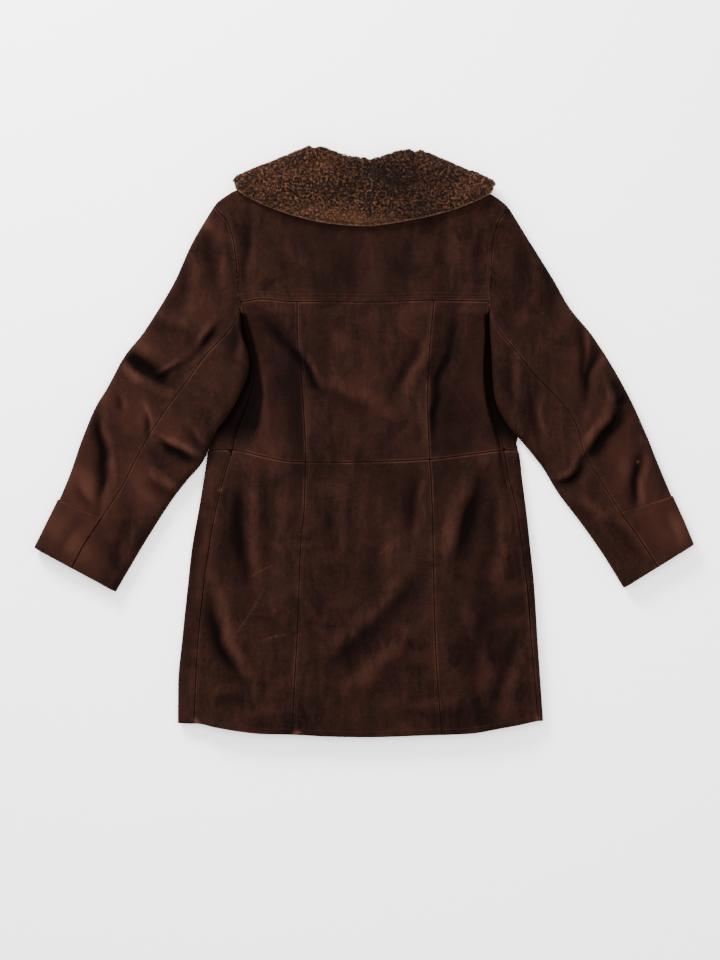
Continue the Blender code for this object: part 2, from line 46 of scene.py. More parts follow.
MM = 0.001
FLOOR_SIZE = 6.0
ROOM_LIGHT = 1.75
CAMERA_PLACE = (-0.0056, -0.059, 3.647)
LENS_MM = 85
# name, place, size and power, in metres and watts
LAMPS = (("window", (-1.3, 2.2, 1.5), 1.1, 262), ("sky", (0.3, 0.1, 3.0), 2.2, 130))


def add(tree, kind, settings=None, links=None):
    """Adds one node with its settings and with links into its sockets."""
    node = tree.nodes.new(kind)
    for key, value in (settings or {}).items():
        if key in node.inputs:
            node.inputs[key].default_value = value
        else:
            setattr(node, key, value)
    for key, source in (links or {}).items():
        tree.links.new(source, node.inputs[key])
    return node


def colour(code):
    """An sRGB hex colour as linear values."""
    parts = [int(code[k:k + 2], 16) / 255 for k in (0, 2, 4)]
    linear = [p / 12.92 if p <= 0.04045 else ((p + 0.055) / 1.055) ** 2.4 for p in parts]
    return (*linear, 1.0)


def material(name, settings):
    """A new material with these values in its shader."""
    made = bpy.data.materials.new(name)
    made.use_nodes = True
    for key, value in settings.items():
        made.node_tree.nodes["Principled BSDF"].inputs[key].default_value = value
    return made


def link(name, data):
    """A new object of this data, in the scene."""
    thing = bpy.data.objects.new(name, data)
    bpy.context.scene.collection.objects.link(thing)
    return thing


bpy.ops.mesh.primitive_plane_add(size=FLOOR_SIZE)
floor = bpy.context.object
floor.name = "floor"
paper = material("white paper floor", {"Base Color": colour("ffffff"), "Roughness": 0.9})
floor.data.materials.append(paper)

room = bpy.data.worlds.new("pale room")
room.use_nodes = True
room.node_tree.nodes["Background"].inputs["Color"].default_value = colour("f6f5f4")
room.node_tree.nodes["Background"].inputs["Strength"].default_value = ROOM_LIGHT
bpy.context.scene.world = room

for label, place, size, watts in LAMPS:
    lamp = bpy.data.lights.new(label, "AREA")
    lamp.size = size
    lamp.energy = watts
    lamp_object = link(label, lamp)
    lamp_object.location = place
    lamp_object.rotation_euler = (-Vector(place)).to_track_quat("-Z", "Y").to_euler()

camera = link("above", bpy.data.cameras.new("above"))
camera.data.lens = LENS_MM
camera.location = CAMERA_PLACE
bpy.context.scene.camera = camera

# ---------------------------------------------------------------------------
# Suede and wool. The coat is sheepskin: the flesh side is brushed to a matt,
# mottled nap that is paler where it is rubbed, with painted light and shade laid
# into its colour too, and the other side is the wool.
# ---------------------------------------------------------------------------

SEAM_DARK = "030201"
SUEDE_DARK = "030101"
SUEDE_DEEP = "0c0504"
SUEDE_MID = "150a07"
SUEDE_LIGHT = "25130e"
SUEDE_WORN_AND_LIT = "40261e"
WOOL_BARE = "140a06"
WOOL_DARK = "090403"
WOOL_MID = "27160e"
WOOL_TIP = "6f4832"


def noise_at(tree, space, millimetres, detail=3.0, rough=0.6, warp=0.0):
    """Noise whose blotches are about so many millimetres across."""
    node = add(tree, "ShaderNodeTexNoise", {"Scale": 500 / millimetres, "Detail": detail,
                                            "Roughness": rough, "Distortion": warp}, {"Vector": space})
    return node.outputs["Fac"]


def blend(tree, factor, first, second):
    """Mixes two colours, each a hex code or a socket."""
    node = add(tree, "ShaderNodeMix", {"data_type": "RGBA"})
    for socket, value in ((6, first), (7, second)):
        if isinstance(value, str):
            node.inputs[socket].default_value = colour(value)
        else:
            tree.links.new(value, node.inputs[socket])
    tree.links.new(factor, node.inputs[0])
    return node.outputs[2]


def remap(tree, source, low, high, to_low=0.0, to_high=1.0):
    """A source's range made another one."""
    node = add(tree, "ShaderNodeMapRange", {"From Min": low, "From Max": high,
                                            "To Min": to_low, "To Max": to_high}, {"Value": source})
    return node.outputs["Result"]


def layers(tree, base, rows):
    """Colours laid over a base, each in step with a range of its source."""
    for source, low, high, to_low, to_high, code in rows:
        base = blend(tree, remap(tree, source, low, high, to_low, to_high), base, code)
    return base


def maths(tree, way, first, second):
    """Two sockets, or a socket and a number, added or multiplied."""
    node = add(tree, "ShaderNodeMath", {"operation": way}, {0: first})
    if isinstance(second, (int, float)):
        node.inputs[1].default_value = second
    else:
        tree.links.new(second, node.inputs[1])
    return node.outputs[0]


def attributes(tree, labels):
    """A socket for each attribute of the mesh."""
    return [add(tree, "ShaderNodeAttribute", {"attribute_name": label}).outputs["Fac"]
            for label in labels.split()]


def raise_nap(tree, height, strength, distance):
    """Bump in the material's surface."""
    bump = add(tree, "ShaderNodeBump", {"Strength": strength, "Distance": distance}, {"Height": height})
    tree.links.new(bump.outputs["Normal"], tree.nodes["Principled BSDF"].inputs["Normal"])


def make_suede(name):
    """Brushed sheepskin suede: matt, blotched and finely grained, rubbed and painted light on seams and
    folds, and painted dark as shade in the folds' troughs.
    """
    made = material(name, {"Roughness": 0.95, "Specular IOR Level": 0.03, "Sheen Weight": 0.02,
                           "Sheen Roughness": 0.4, "Sheen Tint": colour("a8663f")})
    tree = made.node_tree
    space = add(tree, "ShaderNodeTexCoord").outputs["Object"]
    hollow, ridge, edge, mark, shade = attributes(tree, "hollow ridge edge mark shade")
    brushed = add(tree, "ShaderNodeMapping", {"Rotation": (0, 0, 0.25), "Scale": (1, 0.28, 1)},
                  {"Vector": space}).outputs["Vector"]
    patches = noise_at(tree, space, 110, 3.0, 0.55, 0.6)
    blotches = noise_at(tree, space, 30, 4.0, 0.6, 0.8)
    strokes = noise_at(tree, brushed, 9, 4.0, 0.65, 0.5)
    nap = noise_at(tree, space, 3.0, 4.0, 0.7, 0.3)
    grain = noise_at(tree, space, 1.2, 2.0, 0.6)
    base = blend(tree, remap(tree, patches, 0.36, 0.64), SUEDE_DEEP, SUEDE_MID)
    base = layers(tree, base, ((blotches, 0.40, 0.70, 0.0, 0.60, SUEDE_LIGHT),
                               (strokes, 0.44, 0.72, 0.0, 0.50, SUEDE_LIGHT),
                               (nap, 0.42, 0.70, 0.0, 0.32, SUEDE_DARK),
                               (grain, 0.54, 0.72, 0.0, 0.10, SUEDE_WORN_AND_LIT),
                               # painted light and shade from the broad patches, with the nap's own tone
                               (shade, 0.0, 1.0, 0.0, 0.8, SUEDE_LIGHT),
                               (shade, 0.8, 2.0, 0.0, 0.6, SUEDE_WORN_AND_LIT),
                               (shade, 0.0, -1.0, 0.0, 0.8, SUEDE_DEEP)))
    # a dark line in each seam, with a pale one beside it that comes and goes: partly worn, partly a
    # painted highlight on the seam's rolled edge
    worn_and_lit_line = maths(tree, "MULTIPLY", remap(tree, edge, 0.8, 1.6), remap(tree, edge, 2.0, 3.4, 1.0, 0.0))
    worn_and_lit_line = maths(tree, "MULTIPLY", worn_and_lit_line, remap(tree, blotches, 0.42, 0.62, 0.04, 0.40))
    base = blend(tree, worn_and_lit_line, base, SUEDE_WORN_AND_LIT)
    # folds: painted highlight and rubbed wear on top, painted shade in the troughs below
    top = maths(tree, "MULTIPLY", ridge, remap(tree, strokes, 0.36, 0.60, 0.08, 0.45))
    base = blend(tree, top, base, SUEDE_WORN_AND_LIT)
    # painted shade in the crease troughs and under the arms, then the dark line in each seam
    base = layers(tree, base, ((hollow, 0.0, 1.0, 0.0, 0.97, SUEDE_DARK),
                               (edge, 0.1, 1.0, 0.8, 0.0, SEAM_DARK)))
    base = blend(tree, mark, base, SUEDE_WORN_AND_LIT)
    tree.links.new(base, tree.nodes["Principled BSDF"].inputs["Base Color"])
    height = maths(tree, "MULTIPLY", nap, 0.9)
    for source, share in ((blotches, 1.6), (grain, 0.5)):
        height = maths(tree, "ADD", height, maths(tree, "MULTIPLY", source, share))
    raise_nap(tree, height, 0.6, 0.0012)
    return made


def make_wool(name):
    """Clipped curly wool: painted dark between the curls, as their shade, and pale at their tips."""
    made = material(name, {"Roughness": 0.8, "Specular IOR Level": 0.10, "Sheen Weight": 0.03,
                           "Sheen Roughness": 0.5, "Sheen Tint": colour("c08a5c")})
    tree = made.node_tree
    space = add(tree, "ShaderNodeTexCoord").outputs["Object"]
    tip, tone, shade = attributes(tree, "tip tone shade")
    locks = noise_at(tree, space, 1.9, 1.0, 0.5, 0.5)
    areas = noise_at(tree, space, 30, 3.0, 0.6)
    # painted shade: the bare skin and the roots of the curls are painted dark, the tips pale
    base = blend(tree, remap(tree, tip, 0.0, 0.09), WOOL_BARE, WOOL_DARK)
    base = layers(tree, base, ((tip, 0.1, 0.8, 0.0, 1.0, WOOL_MID),))
    pale = maths(tree, "MULTIPLY", remap(tree, tip, 0.4, 0.95), remap(tree, tone, 0.40, 0.90))
    base = blend(tree, pale, base, WOOL_TIP)
    base = layers(tree, base, ((locks, 0.425, 0.55, 0.97, 0.0, WOOL_DARK),
                               (locks, 0.55, 0.65, 0.0, 0.75, WOOL_TIP),
                               (areas, 0.40, 0.60, 0.35, 0.0, WOOL_DARK),
                               # broad darker and lighter places, and painted shade in the collar's
                               # creases
                               (shade, 0.0, -1.0, 0.0, 0.75, WOOL_DARK),
                               (shade, -1.2, -2.0, 0.0, 0.95, WOOL_DARK),
                               (shade, 0.0, 1.0, 0.0, 0.4, WOOL_TIP)))
    tree.links.new(base, tree.nodes["Principled BSDF"].inputs["Base Color"])
    raise_nap(tree, locks, 0.8, 0.0015)
    return made


suede = make_suede("brushed sheepskin suede")
wool = make_wool("clipped curly wool")

# ---------------------------------------------------------------------------
# Back. Seven skins: a yoke over a centre and two sides, cut again at the
# waist. They lie over the fronts with the seams turned in and topstitched.
# Sizes are millimetres from the middle of the coat; z is up from the floor.
# ---------------------------------------------------------------------------

BACK_HEIGHT = 28.0
FRONT_RAISE = 10.0
SHOULDER_ROLL = 8.0
SHOULDER_GAP = 0.1
HIDE = 3.6


def table(header, *rows):
    """Rows of numbers under named columns, as one array for each column."""
    return {name: np.array([row[k] for row in rows], float) for k, name in enumerate(header.split())}


def read(rows, key, value, at):
    """A column read at places along another one, smoothly and with no overshoot."""
    spots, values = rows[key], rows[value]
    at = np.clip(np.asarray(at, float), spots[0], spots[-1])
    i = np.clip(np.searchsorted(spots, at, side="right") - 1, 0, len(spots) - 2)
    slopes = np.diff(values) / np.diff(spots)
    product = slopes[:-1] * slopes[1:]
    with np.errstate(divide="ignore", invalid="ignore"):
        middle = np.where(product > 0, 2 * product / (slopes[:-1] + slopes[1:]), 0.0)
    tangents = np.concatenate([slopes[:1], middle, slopes[-1:]])
    width = spots[i + 1] - spots[i]
    t = (at - spots[i]) / width
    ends = values[i] * (1 + 2 * t) * (1 - t) ** 2 + values[i + 1] * (3 - 2 * t) * t ** 2
    return ends + width * (tangents[i] * t * (1 - t) ** 2 - tangents[i + 1] * t * t * (1 - t))


def mix(a, b, t):
    return a + (b - a) * t


def ease(t):
    t = np.clip(t, 0.0, 1.0)
    return t * t * (3 - 2 * t)


# out: outline, seam: side seam and then armhole, edge: where the back starts to
# turn down to the side, drop: width of that turn, prin: princess seam, side:
# height at the side seam.
BODY = table(
    "y out_l seam_l edge_l drop_l prin_l side_l prin_r edge_r drop_r seam_r out_r side_r",
    (-470, -298, -272.5, -240, 28, -114, 21, 126, 247, 28, 281.5, 290, 21),
    (-390, -297.5, -269, -236, 30, -110.5, 22, 119, 243, 29, 275, 284.5, 22),
    (-310, -290.5, -264, -230, 30, -106, 23, 114.5, 236, 29, 268, 279, 23),
    (-230, -282, -256, -223, 30, -103, 23, 112.5, 230, 28, 261.5, 274, 23),
    (-170, -275.5, -247.5, -214, 30, -101, 22, 111.5, 224, 27, 254, 268, 22),
    (-110, -265, -237, -203, 30, -95, 20, 110, 218, 24, 246, 261.5, 20),
    (-50, -255, -222, -190, 27, -93, 17, 107.5, 213, 16, 231.5, 254, 17),
    (-30, -252, -216, -184, 28, -92.5, 15.5, 106, 213, 12, 228, 252, 15.5),
    (-10, -249.5, -210, -174, 32, -92.5, 14, 105, 213, 9, 224, 248.5, 14),
    (15, -237, -204, -162, 38, -93.5, 13, 104, 208, 7, 219, 237, 13),
    (35, -223.5, -197, -157, 30, -94.5, 12.5, 103, 202, 6, 211, 223.5, 12.5),
    (72, -199, -183, -156, 14, -97, 12, 102, 193.5, 5, 201, 208.5, 12),
    (110, -184, -173.5, -162, 8, -99.5, 12, 103.5, 191, 4, 197.5, 204.5, 12),
    (140, -181.5, -174, -168, 4, -103, 13, 105, 191.5, 3, 197, 203.5, 13),
    (172, -187.5, -181, -176, 4, -105.5, 17, 107, 193, 3, 196.5, 201.8, 17),
    (205, -195.2, -190.5, -186, 4, -106, 25, 110.5, 192, 3, 195.5, 199.8, 25),
    (210, -196, -197, -188, 4, -106, 28, 111, 193, 3, 200.5, 201, 28),
    (226, -197, -198, -188, 4, -106, 28, 112, 193, 3, 201, 202, 28),
    (265, -201, -202, -190, 5, -107, 28, 113, 193, 5, 203, 204, 28),
    (313, -205, -206, -192, 5, -108, 28, 114, 194, 5, 206, 207, 28),
    (352, -215, -216.5, -200, 6, -109, 28, 115, 203, 6, 215, 216, 28),
    (382, -237, -238.5, -215, 8, -110, 28, 116, 216, 8, 233, 234, 28),
    (440, -240, -240, -215, 8, -112, 28, 117, 217, 8, 236, 237, 28),
)

# the seams that run across, from the left of the back to the right
CROSS = table(
    "x hem waist under underarm yoke",
    (-300, -449, -6, 205, 210, 222),
    (-268, -449, -7, 205, 210, 222),
    (-234, -455, -8, 205, 210, 223),
    (-200, -461, -12, 205, 210, 225),
    (-161, -465, -21, 205, 210, 230),
    (-114, -466, -29.5, 205, 210, 226),
    (-57, -469, -31, 205, 210, 226),
    (10, -470, -30, 205, 210, 225),
    (106, -467, -26, 205, 210, 228),
    (165, -465, -19, 205, 210, 227),
    (226, -455, -11, 205, 210, 226),
    (290, -443, -5, 205, 210, 226),
)
SHOULDER = table(
    "x back front",
    (-242, 377, 377), (-234, 386, 386), (-222, 395, 395), (-207, 403.5, 403.5), (-180, 411, 411),
    (-130, 423, 423), (-88, 434, 434), (-78, 431, 402), (-60, 427, 371), (-35, 424, 354),
    (0, 423, 347), (35, 424, 354), (60, 427, 371), (78, 430, 402), (88, 432.5, 432.5),
    (130, 421, 421), (180, 408, 408), (209, 396, 396), (222, 387, 387), (236, 375, 375),
)
FRONT_REST = table("x y", (0, 228), (100, 228), (130, 240), (165, 262), (185, 288), (199, 318),
                   (206, 372), (214, 440), (300, 600))

BENDS = 12             # straight steps along a crease

# Creases of the back, laid in one by one: each bends through three points, and is a
# soft trough where its depth is negative or a ridge where it is positive. lip is
# the fold standing beside it, on the left of its run, or on the right if negative.
CREASES = table(
    "x0 y0 xm ym x1 y1 width depth lip",
    (-166, 214, -140, 180, -104, 138, 13, -4.0, 1.0),
    (-113, 156, -88, 116, -66, 78, 6, -5.0, 1.4),
    (-78, 92, -30, 66, 22, 44, 11, -2.0, 0.8),
    (-150, 120, -143, 70, -134, 10, 11, -1.8, -2.2),
    (-97, 90, -99, 30, -97, -26, 4, -2.0, 0.6),
    (142, 232, 156, 166, 118, 106, 12, -3.8, 0.8),
    (128, 136, 109, 66, 108, -6, 6, -5.2, -1.2),
    (100, 176, 74, 130, 40, 66, 9, -3.0, 1.4),
    (84, 90, 98, 40, 60, 4, 9, 1.4, 0),
    (-60, 190, -52, 150, -66, 110, 13, -1.6, 0.8),
    (-200, -56, -206, -130, -182, -240, 11, -4.4, 1.4),
    (-150, -70, -146, -140, -156, -230, 12, -1.6, 0.9),
    (-252, -226, -240, -310, -190, -396, 9, -4.6, 1.6),
    (-236, -420, -210, -400, -176, -420, 9, -1.8, 0.8),
    (-72, -366, 24, -300, 106, -196, 12, -2.8, 0.9),
    (-30, -424, 40, -380, 100, -300, 14, -1.6, 0.9),
    (86, -50, 80, -92, 74, -160, 7, -3.2, 1.2),
    (190, -50, 162, -116, 146, -206, 11, -5.0, -1.4),
    (196, -230, 190, -290, 176, -350, 14, -2.4, -0.6),
    (214, -70, 208, -150, 186, -250, 10, -2.2, 1.2),
    (240, -300, 222, -360, 208, -436, 10, -2.6, 1.2),
    (158, -300, 176, -360, 184, -440, 12, -2.0, 1.0),
    (-58, -92, -52, -130, -60, -180, 10, -2.4, 0.8),
    (18, -120, 26, -190, 10, -260, 13, -1.6, 0.9),
    (-40, 330, -20, 280, -24, 236, 20, -1.6, 0.6),
    (62, 336, 70, 290, 58, 240, 18, -1.4, 0.6),
    (132, 384, 118, 330, 122, 246, 12, -1.8, 0.8),
    (-178, 374, -188, 330, -192, 244, 6, -2.8, 0.9),
    (-150, 310, -120, 276, -70, 252, 13, -1.2, 0.5),
    (186, 340, 182, 290, 186, 240, 7, -2.0, 0.8),
    (20, -424, 90, -440, 178, -432, 9, -1.4, 0.5),
)

# Scuffs and scratches, pale and thin, in the same form.
MARKS = table(
    "x0 y0 xm ym x1 y1 width depth lip",
    (-182, -215, -163, -202, -145, -196, 1.0, 0.35, 0),
    (-156, -226, -180, -276, -222, -328, 0.9, 0.30, 0),
    (-164, -316, -142, -308, -122, -306, 1.0, 0.35, 0),
    (-229, -77, -229, -75, -228, -73, 2.0, 0.9, 0),
    (-143, -268, -142, -267, -141, -267, 1.8, 0.8, 0),
    (438, -31, 439, -30, 440, -29, 1.8, 0.9, 0),
    (20, -180, 34, -172, 44, -160, 0.9, 0.2, 0),
    (14, 100, 20, 106, 26, 112, 0.9, 0.3, 0),
    (-272, -440, -268, -446, -262, -450, 3.5, 0.8, 0),
    (-113, -464, -106, -462, -100, -463, 3.0, 0.8, 0),
    (276, -436, 280, -442, 286, -446, 3.0, 0.6, 0),
)


# Broad places painted lighter or darker: partly the nap lying different ways, partly painted
# light and shade, darker in the seam valleys and by the armholes and lighter on the sleeves.
# Columns: middle, half sizes, lean, amount.
SHADES = table(
    "x y wide tall lean amount",
    (-152, 50, 15, 75, 4, 0.7),
    (-155, 156, 12, 30, 0, 0.4),
    (-108, 60, 15, 80, 0, -1.1),
    (-205, 190, 26, 110, 0, -0.4),
    (-120, 150, 60, 60, 0, -0.3),
    (0, 60, 50, 80, 0, 0.25),
    (-10, 280, 90, 60, 0, -0.6),
    (-100, 350, 40, 40, 0, -0.6),
    (132, 60, 18, 80, 0, -0.5),
    (178, 110, 18, 50, 0, 0.7),
    (226, 180, 30, 50, 0, -0.4),
    (140, -30, 50, 60, 0, -0.6),
    (180, -260, 34, 70, 0, -0.6),
    (60, -70, 50, 50, 0, -0.8),
    (30, -220, 60, 40, 0, -0.5),
    (-105, -60, 20, 60, 0, -0.7),
    (-250, -210, 20, 75, 8, 0.7),
    (-180, -240, 36, 80, 0, 0.2),
    (-300, -440, 60, 40, 0, 0.4),
    (278, -380, 14, 80, 0, 0.5),
    (-250, 350, 14, 24, 40, 1.2),
    (-446, -70, 40, 60, 30, 1.3),
    (-486, -140, 34, 46, 30, 1.1),
    (-444, -180, 30, 30, 30, 0.8),
    (-352, -70, 24, 50, 30, 1.2),
    (-352, 150, 24, 26, 30, 1.1),
    (-352, 40, 18, 40, 0, 0.9),
    (-305, 10, 24, 30, 30, 0.9),
    (-400, 70, 20, 50, 30, 0.7),
    (376, 20, 34, 50, -30, 0.4),
    (340, 110, 40, 60, -30, 0.5),
    (424, -50, 24, 60, 20, 1.1),
    (470, -130, 30, 60, 20, 0.7),
    (510, -134, 28, 44, 0, 1.1),
    (326, 210, 20, 30, 0, 0.7),
)


def shade_field(rows, x, y):
    """Sum of the broad shades at places in plan."""
    total = np.zeros_like(x)
    for k in range(len(rows["x"])):
        off_x, off_y = x - rows["x"][k], y - rows["y"][k]
        turn = math.radians(rows["lean"][k])
        a = (off_x * math.cos(turn) + off_y * math.sin(turn)) / rows["wide"][k]
        b = (off_y * math.cos(turn) - off_x * math.sin(turn)) / rows["tall"][k]
        total += rows["amount"][k] * np.exp(-(a ** 2 + b ** 2))
    return total


def crease_field(rows, x, y):
    """Sum of the creases at places in plan."""
    total = np.zeros_like(x)
    steps = np.linspace(0, 1, BENDS + 1)
    for k in range(len(rows["depth"])):
        weights = (1 - steps) ** 2, 2 * steps * (1 - steps), steps ** 2
        path_x = sum(w * rows[key][k] for w, key in zip(weights, ("x0", "xm", "x1")))
        path_y = sum(w * rows[key][k] for w, key in zip(weights, ("y0", "ym", "y1")))
        nearest, beside, along = np.full_like(x, 1e9), np.zeros_like(x), np.zeros_like(x)
        for s in range(BENDS):
            run_x, run_y = path_x[s + 1] - path_x[s], path_y[s + 1] - path_y[s]
            t = ((x - path_x[s]) * run_x + (y - path_y[s]) * run_y) / (run_x ** 2 + run_y ** 2)
            t = np.clip(t, 0, 1)
            off_x, off_y = x - path_x[s] - t * run_x, y - path_y[s] - t * run_y
            gap = np.hypot(off_x, off_y)
            closer = gap < nearest
            nearest = np.where(closer, gap, nearest)
            beside = np.where(closer, np.where(run_x * off_y - run_y * off_x > 0, gap, -gap), beside)
            along = np.where(closer, (s + t) / BENDS, along)
        width, lip = rows["width"][k], rows["lip"][k]
        taper = np.sin(np.pi * np.clip(along, 0.04, 0.96)) ** 0.6
        spread_out = width * np.where(beside * lip > 0, 0.75, 1.0 if lip == 0 else 1.7)
        fold = rows["depth"][k] * np.exp(-(nearest / spread_out) ** 2)
        if lip:
            past = np.clip(nearest / width, 0, 3)
            crest = (beside * np.sign(lip) - 1.9 * width) / (1.1 * width)
            fold = fold + abs(lip) * np.exp(-crest ** 2) * (past < 3)
        total += taper * fold
    return total


def ripple(x, y, z, size, seed):
    """Uneven soft waves about so many millimetres long, from -1 to 1."""
    scale = 1 / size
    return np.array([noise.noise(Vector((a * scale + seed, b * scale, c * scale)))
                     for a, b, c in zip(x, y, z)])


def body(column, y):
    return read(BODY, "y", column, y)


def front_lift(x, y):
    """How far the collar's front fall lifts the front off the floor."""
    return FRONT_RAISE * ease((y - read(FRONT_REST, "x", "y", np.abs(x)) + 25) / 25)


def shoulder_turn(x, y, side):
    """0 on the flat, 1 at the shoulder line, round like a fold."""
    reach = np.clip((read(SHOULDER, "x", side, x) - y) / SHOULDER_ROLL, 0, 1)
    return (1 - np.sqrt(np.maximum(0, 1 - (1 - reach) ** 2))) * ease((np.abs(x) - 79) / 10)


def back_height(x, y):
    """Outer face of the back over the floor, before its creases."""
    level = BACK_HEIGHT + 2 * ease((y - 250) / 120)
    left = mix(level, body("side_l", y), ease((body("edge_l", y) - x) / body("drop_l", y)))
    right = mix(level, body("side_r", y), ease((x - body("edge_r", y)) / body("drop_r", y)))
    level = np.where(x < 0, left, right)
    seam = (level + front_lift(x, y)) / 2 + SHOULDER_GAP
    return mix(level, seam, shoulder_turn(x, y, "back"))


BELOW_HEM, ABOVE_COLLAR, HALVINGS = -520.0, 480.0, 26


def meet(column, row):
    """Where columns, x as a function of y, cross rows, y as a function of x."""
    first = column(0.0)
    low = np.full_like(first, BELOW_HEM)
    high = np.full_like(first, ABOVE_COLLAR)
    for _ in range(HALVINGS):
        y = (low + high) / 2
        below = y < row(column(y))
        low, high = np.where(below, y, low), np.where(below, high, y)
    return column(y), y


def grid_mesh(name, columns, rows, corners):
    """A flat grid whose corners are then put in place; corners is rows by columns by 3."""
    bm = bmesh.new()
    bmesh.ops.create_grid(bm, x_segments=columns, y_segments=rows, size=0.5)
    mesh = bpy.data.meshes.new(name)
    bm.to_mesh(mesh)
    bm.free()
    flat = np.empty(len(mesh.vertices) * 3)
    mesh.vertices.foreach_get("co", flat)
    flat = flat.reshape(-1, 3)
    i = np.rint((flat[:, 0] + 0.5) * columns).astype(int)
    j = np.rint((flat[:, 1] + 0.5) * rows).astype(int)
    mesh.vertices.foreach_set("co", (corners[j, i] * MM).ravel())
    mesh.update()
    return mesh, i, j


def surface_normals(points):
    """Unit normals of a grid of points."""
    across = np.gradient(points, axis=1)
    along = np.gradient(points, axis=0)
    normals = np.cross(across, along)
    return normals / np.maximum(np.linalg.norm(normals, axis=2, keepdims=True), 1e-9)


def border_distances(points):
    """Distance of each grid point from the left, right, bottom and top border."""
    across = np.linalg.norm(np.diff(points, axis=1), axis=2)
    from_left = np.concatenate([np.zeros((points.shape[0], 1)), np.cumsum(across, axis=1)], axis=1)
    along = np.linalg.norm(np.diff(points, axis=0), axis=2)
    from_bottom = np.concatenate([np.zeros((1, points.shape[1])), np.cumsum(along, axis=0)], axis=0)
    return {"left": from_left, "right": from_left[:, -1:] - from_left,
            "bottom": from_bottom, "top": from_bottom[-1:, :] - from_bottom}


def smooth(mesh):
    mesh.polygons.foreach_set("use_smooth", np.ones(len(mesh.polygons), bool))


def paint(mesh, **values):
    """Numbers on the corners of a mesh, for its material to read."""
    for label, numbers in values.items():
        layer = mesh.attributes.new(label, "FLOAT", "POINT")
        layer.data.foreach_set("value", numbers.astype(np.float32))


def dress(piece, node=None):
    """Puts a piece on the body it rides on, and hides the CAD node it stands for."""
    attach(piece, "root")
    if node:
        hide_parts(node)


# Relief of a skin: the height and the length of each kind of wave, and the depth
# and the width of the groove at a seam, of a turned edge and of a row of stitches.
SWAY, SWAY_LENGTH = 6, 38
SWELL, SWELL_LENGTH = 1.7, 75
CHOP, CHOP_LENGTH = 0.8, 30
PUCKER, PUCKER_LENGTH, PUCKER_PLACE = 0.5, 9, 5
GROOVE, GROOVE_WIDTH = 1.0, 2.6
TURN, TURN_WIDTH = 1.0, 2.5
DENT, DENT_WIDTH = 0.22, 1.2
FULL_HOLLOW, FULL_RIDGE = 4.2, 2.6      # heights at which a fold is wholly painted dark as shade, or wholly rubbed and painted light
TUCKED_Z = 14
THINNING = 12                           # how far from a tucked seam the wall is thinner


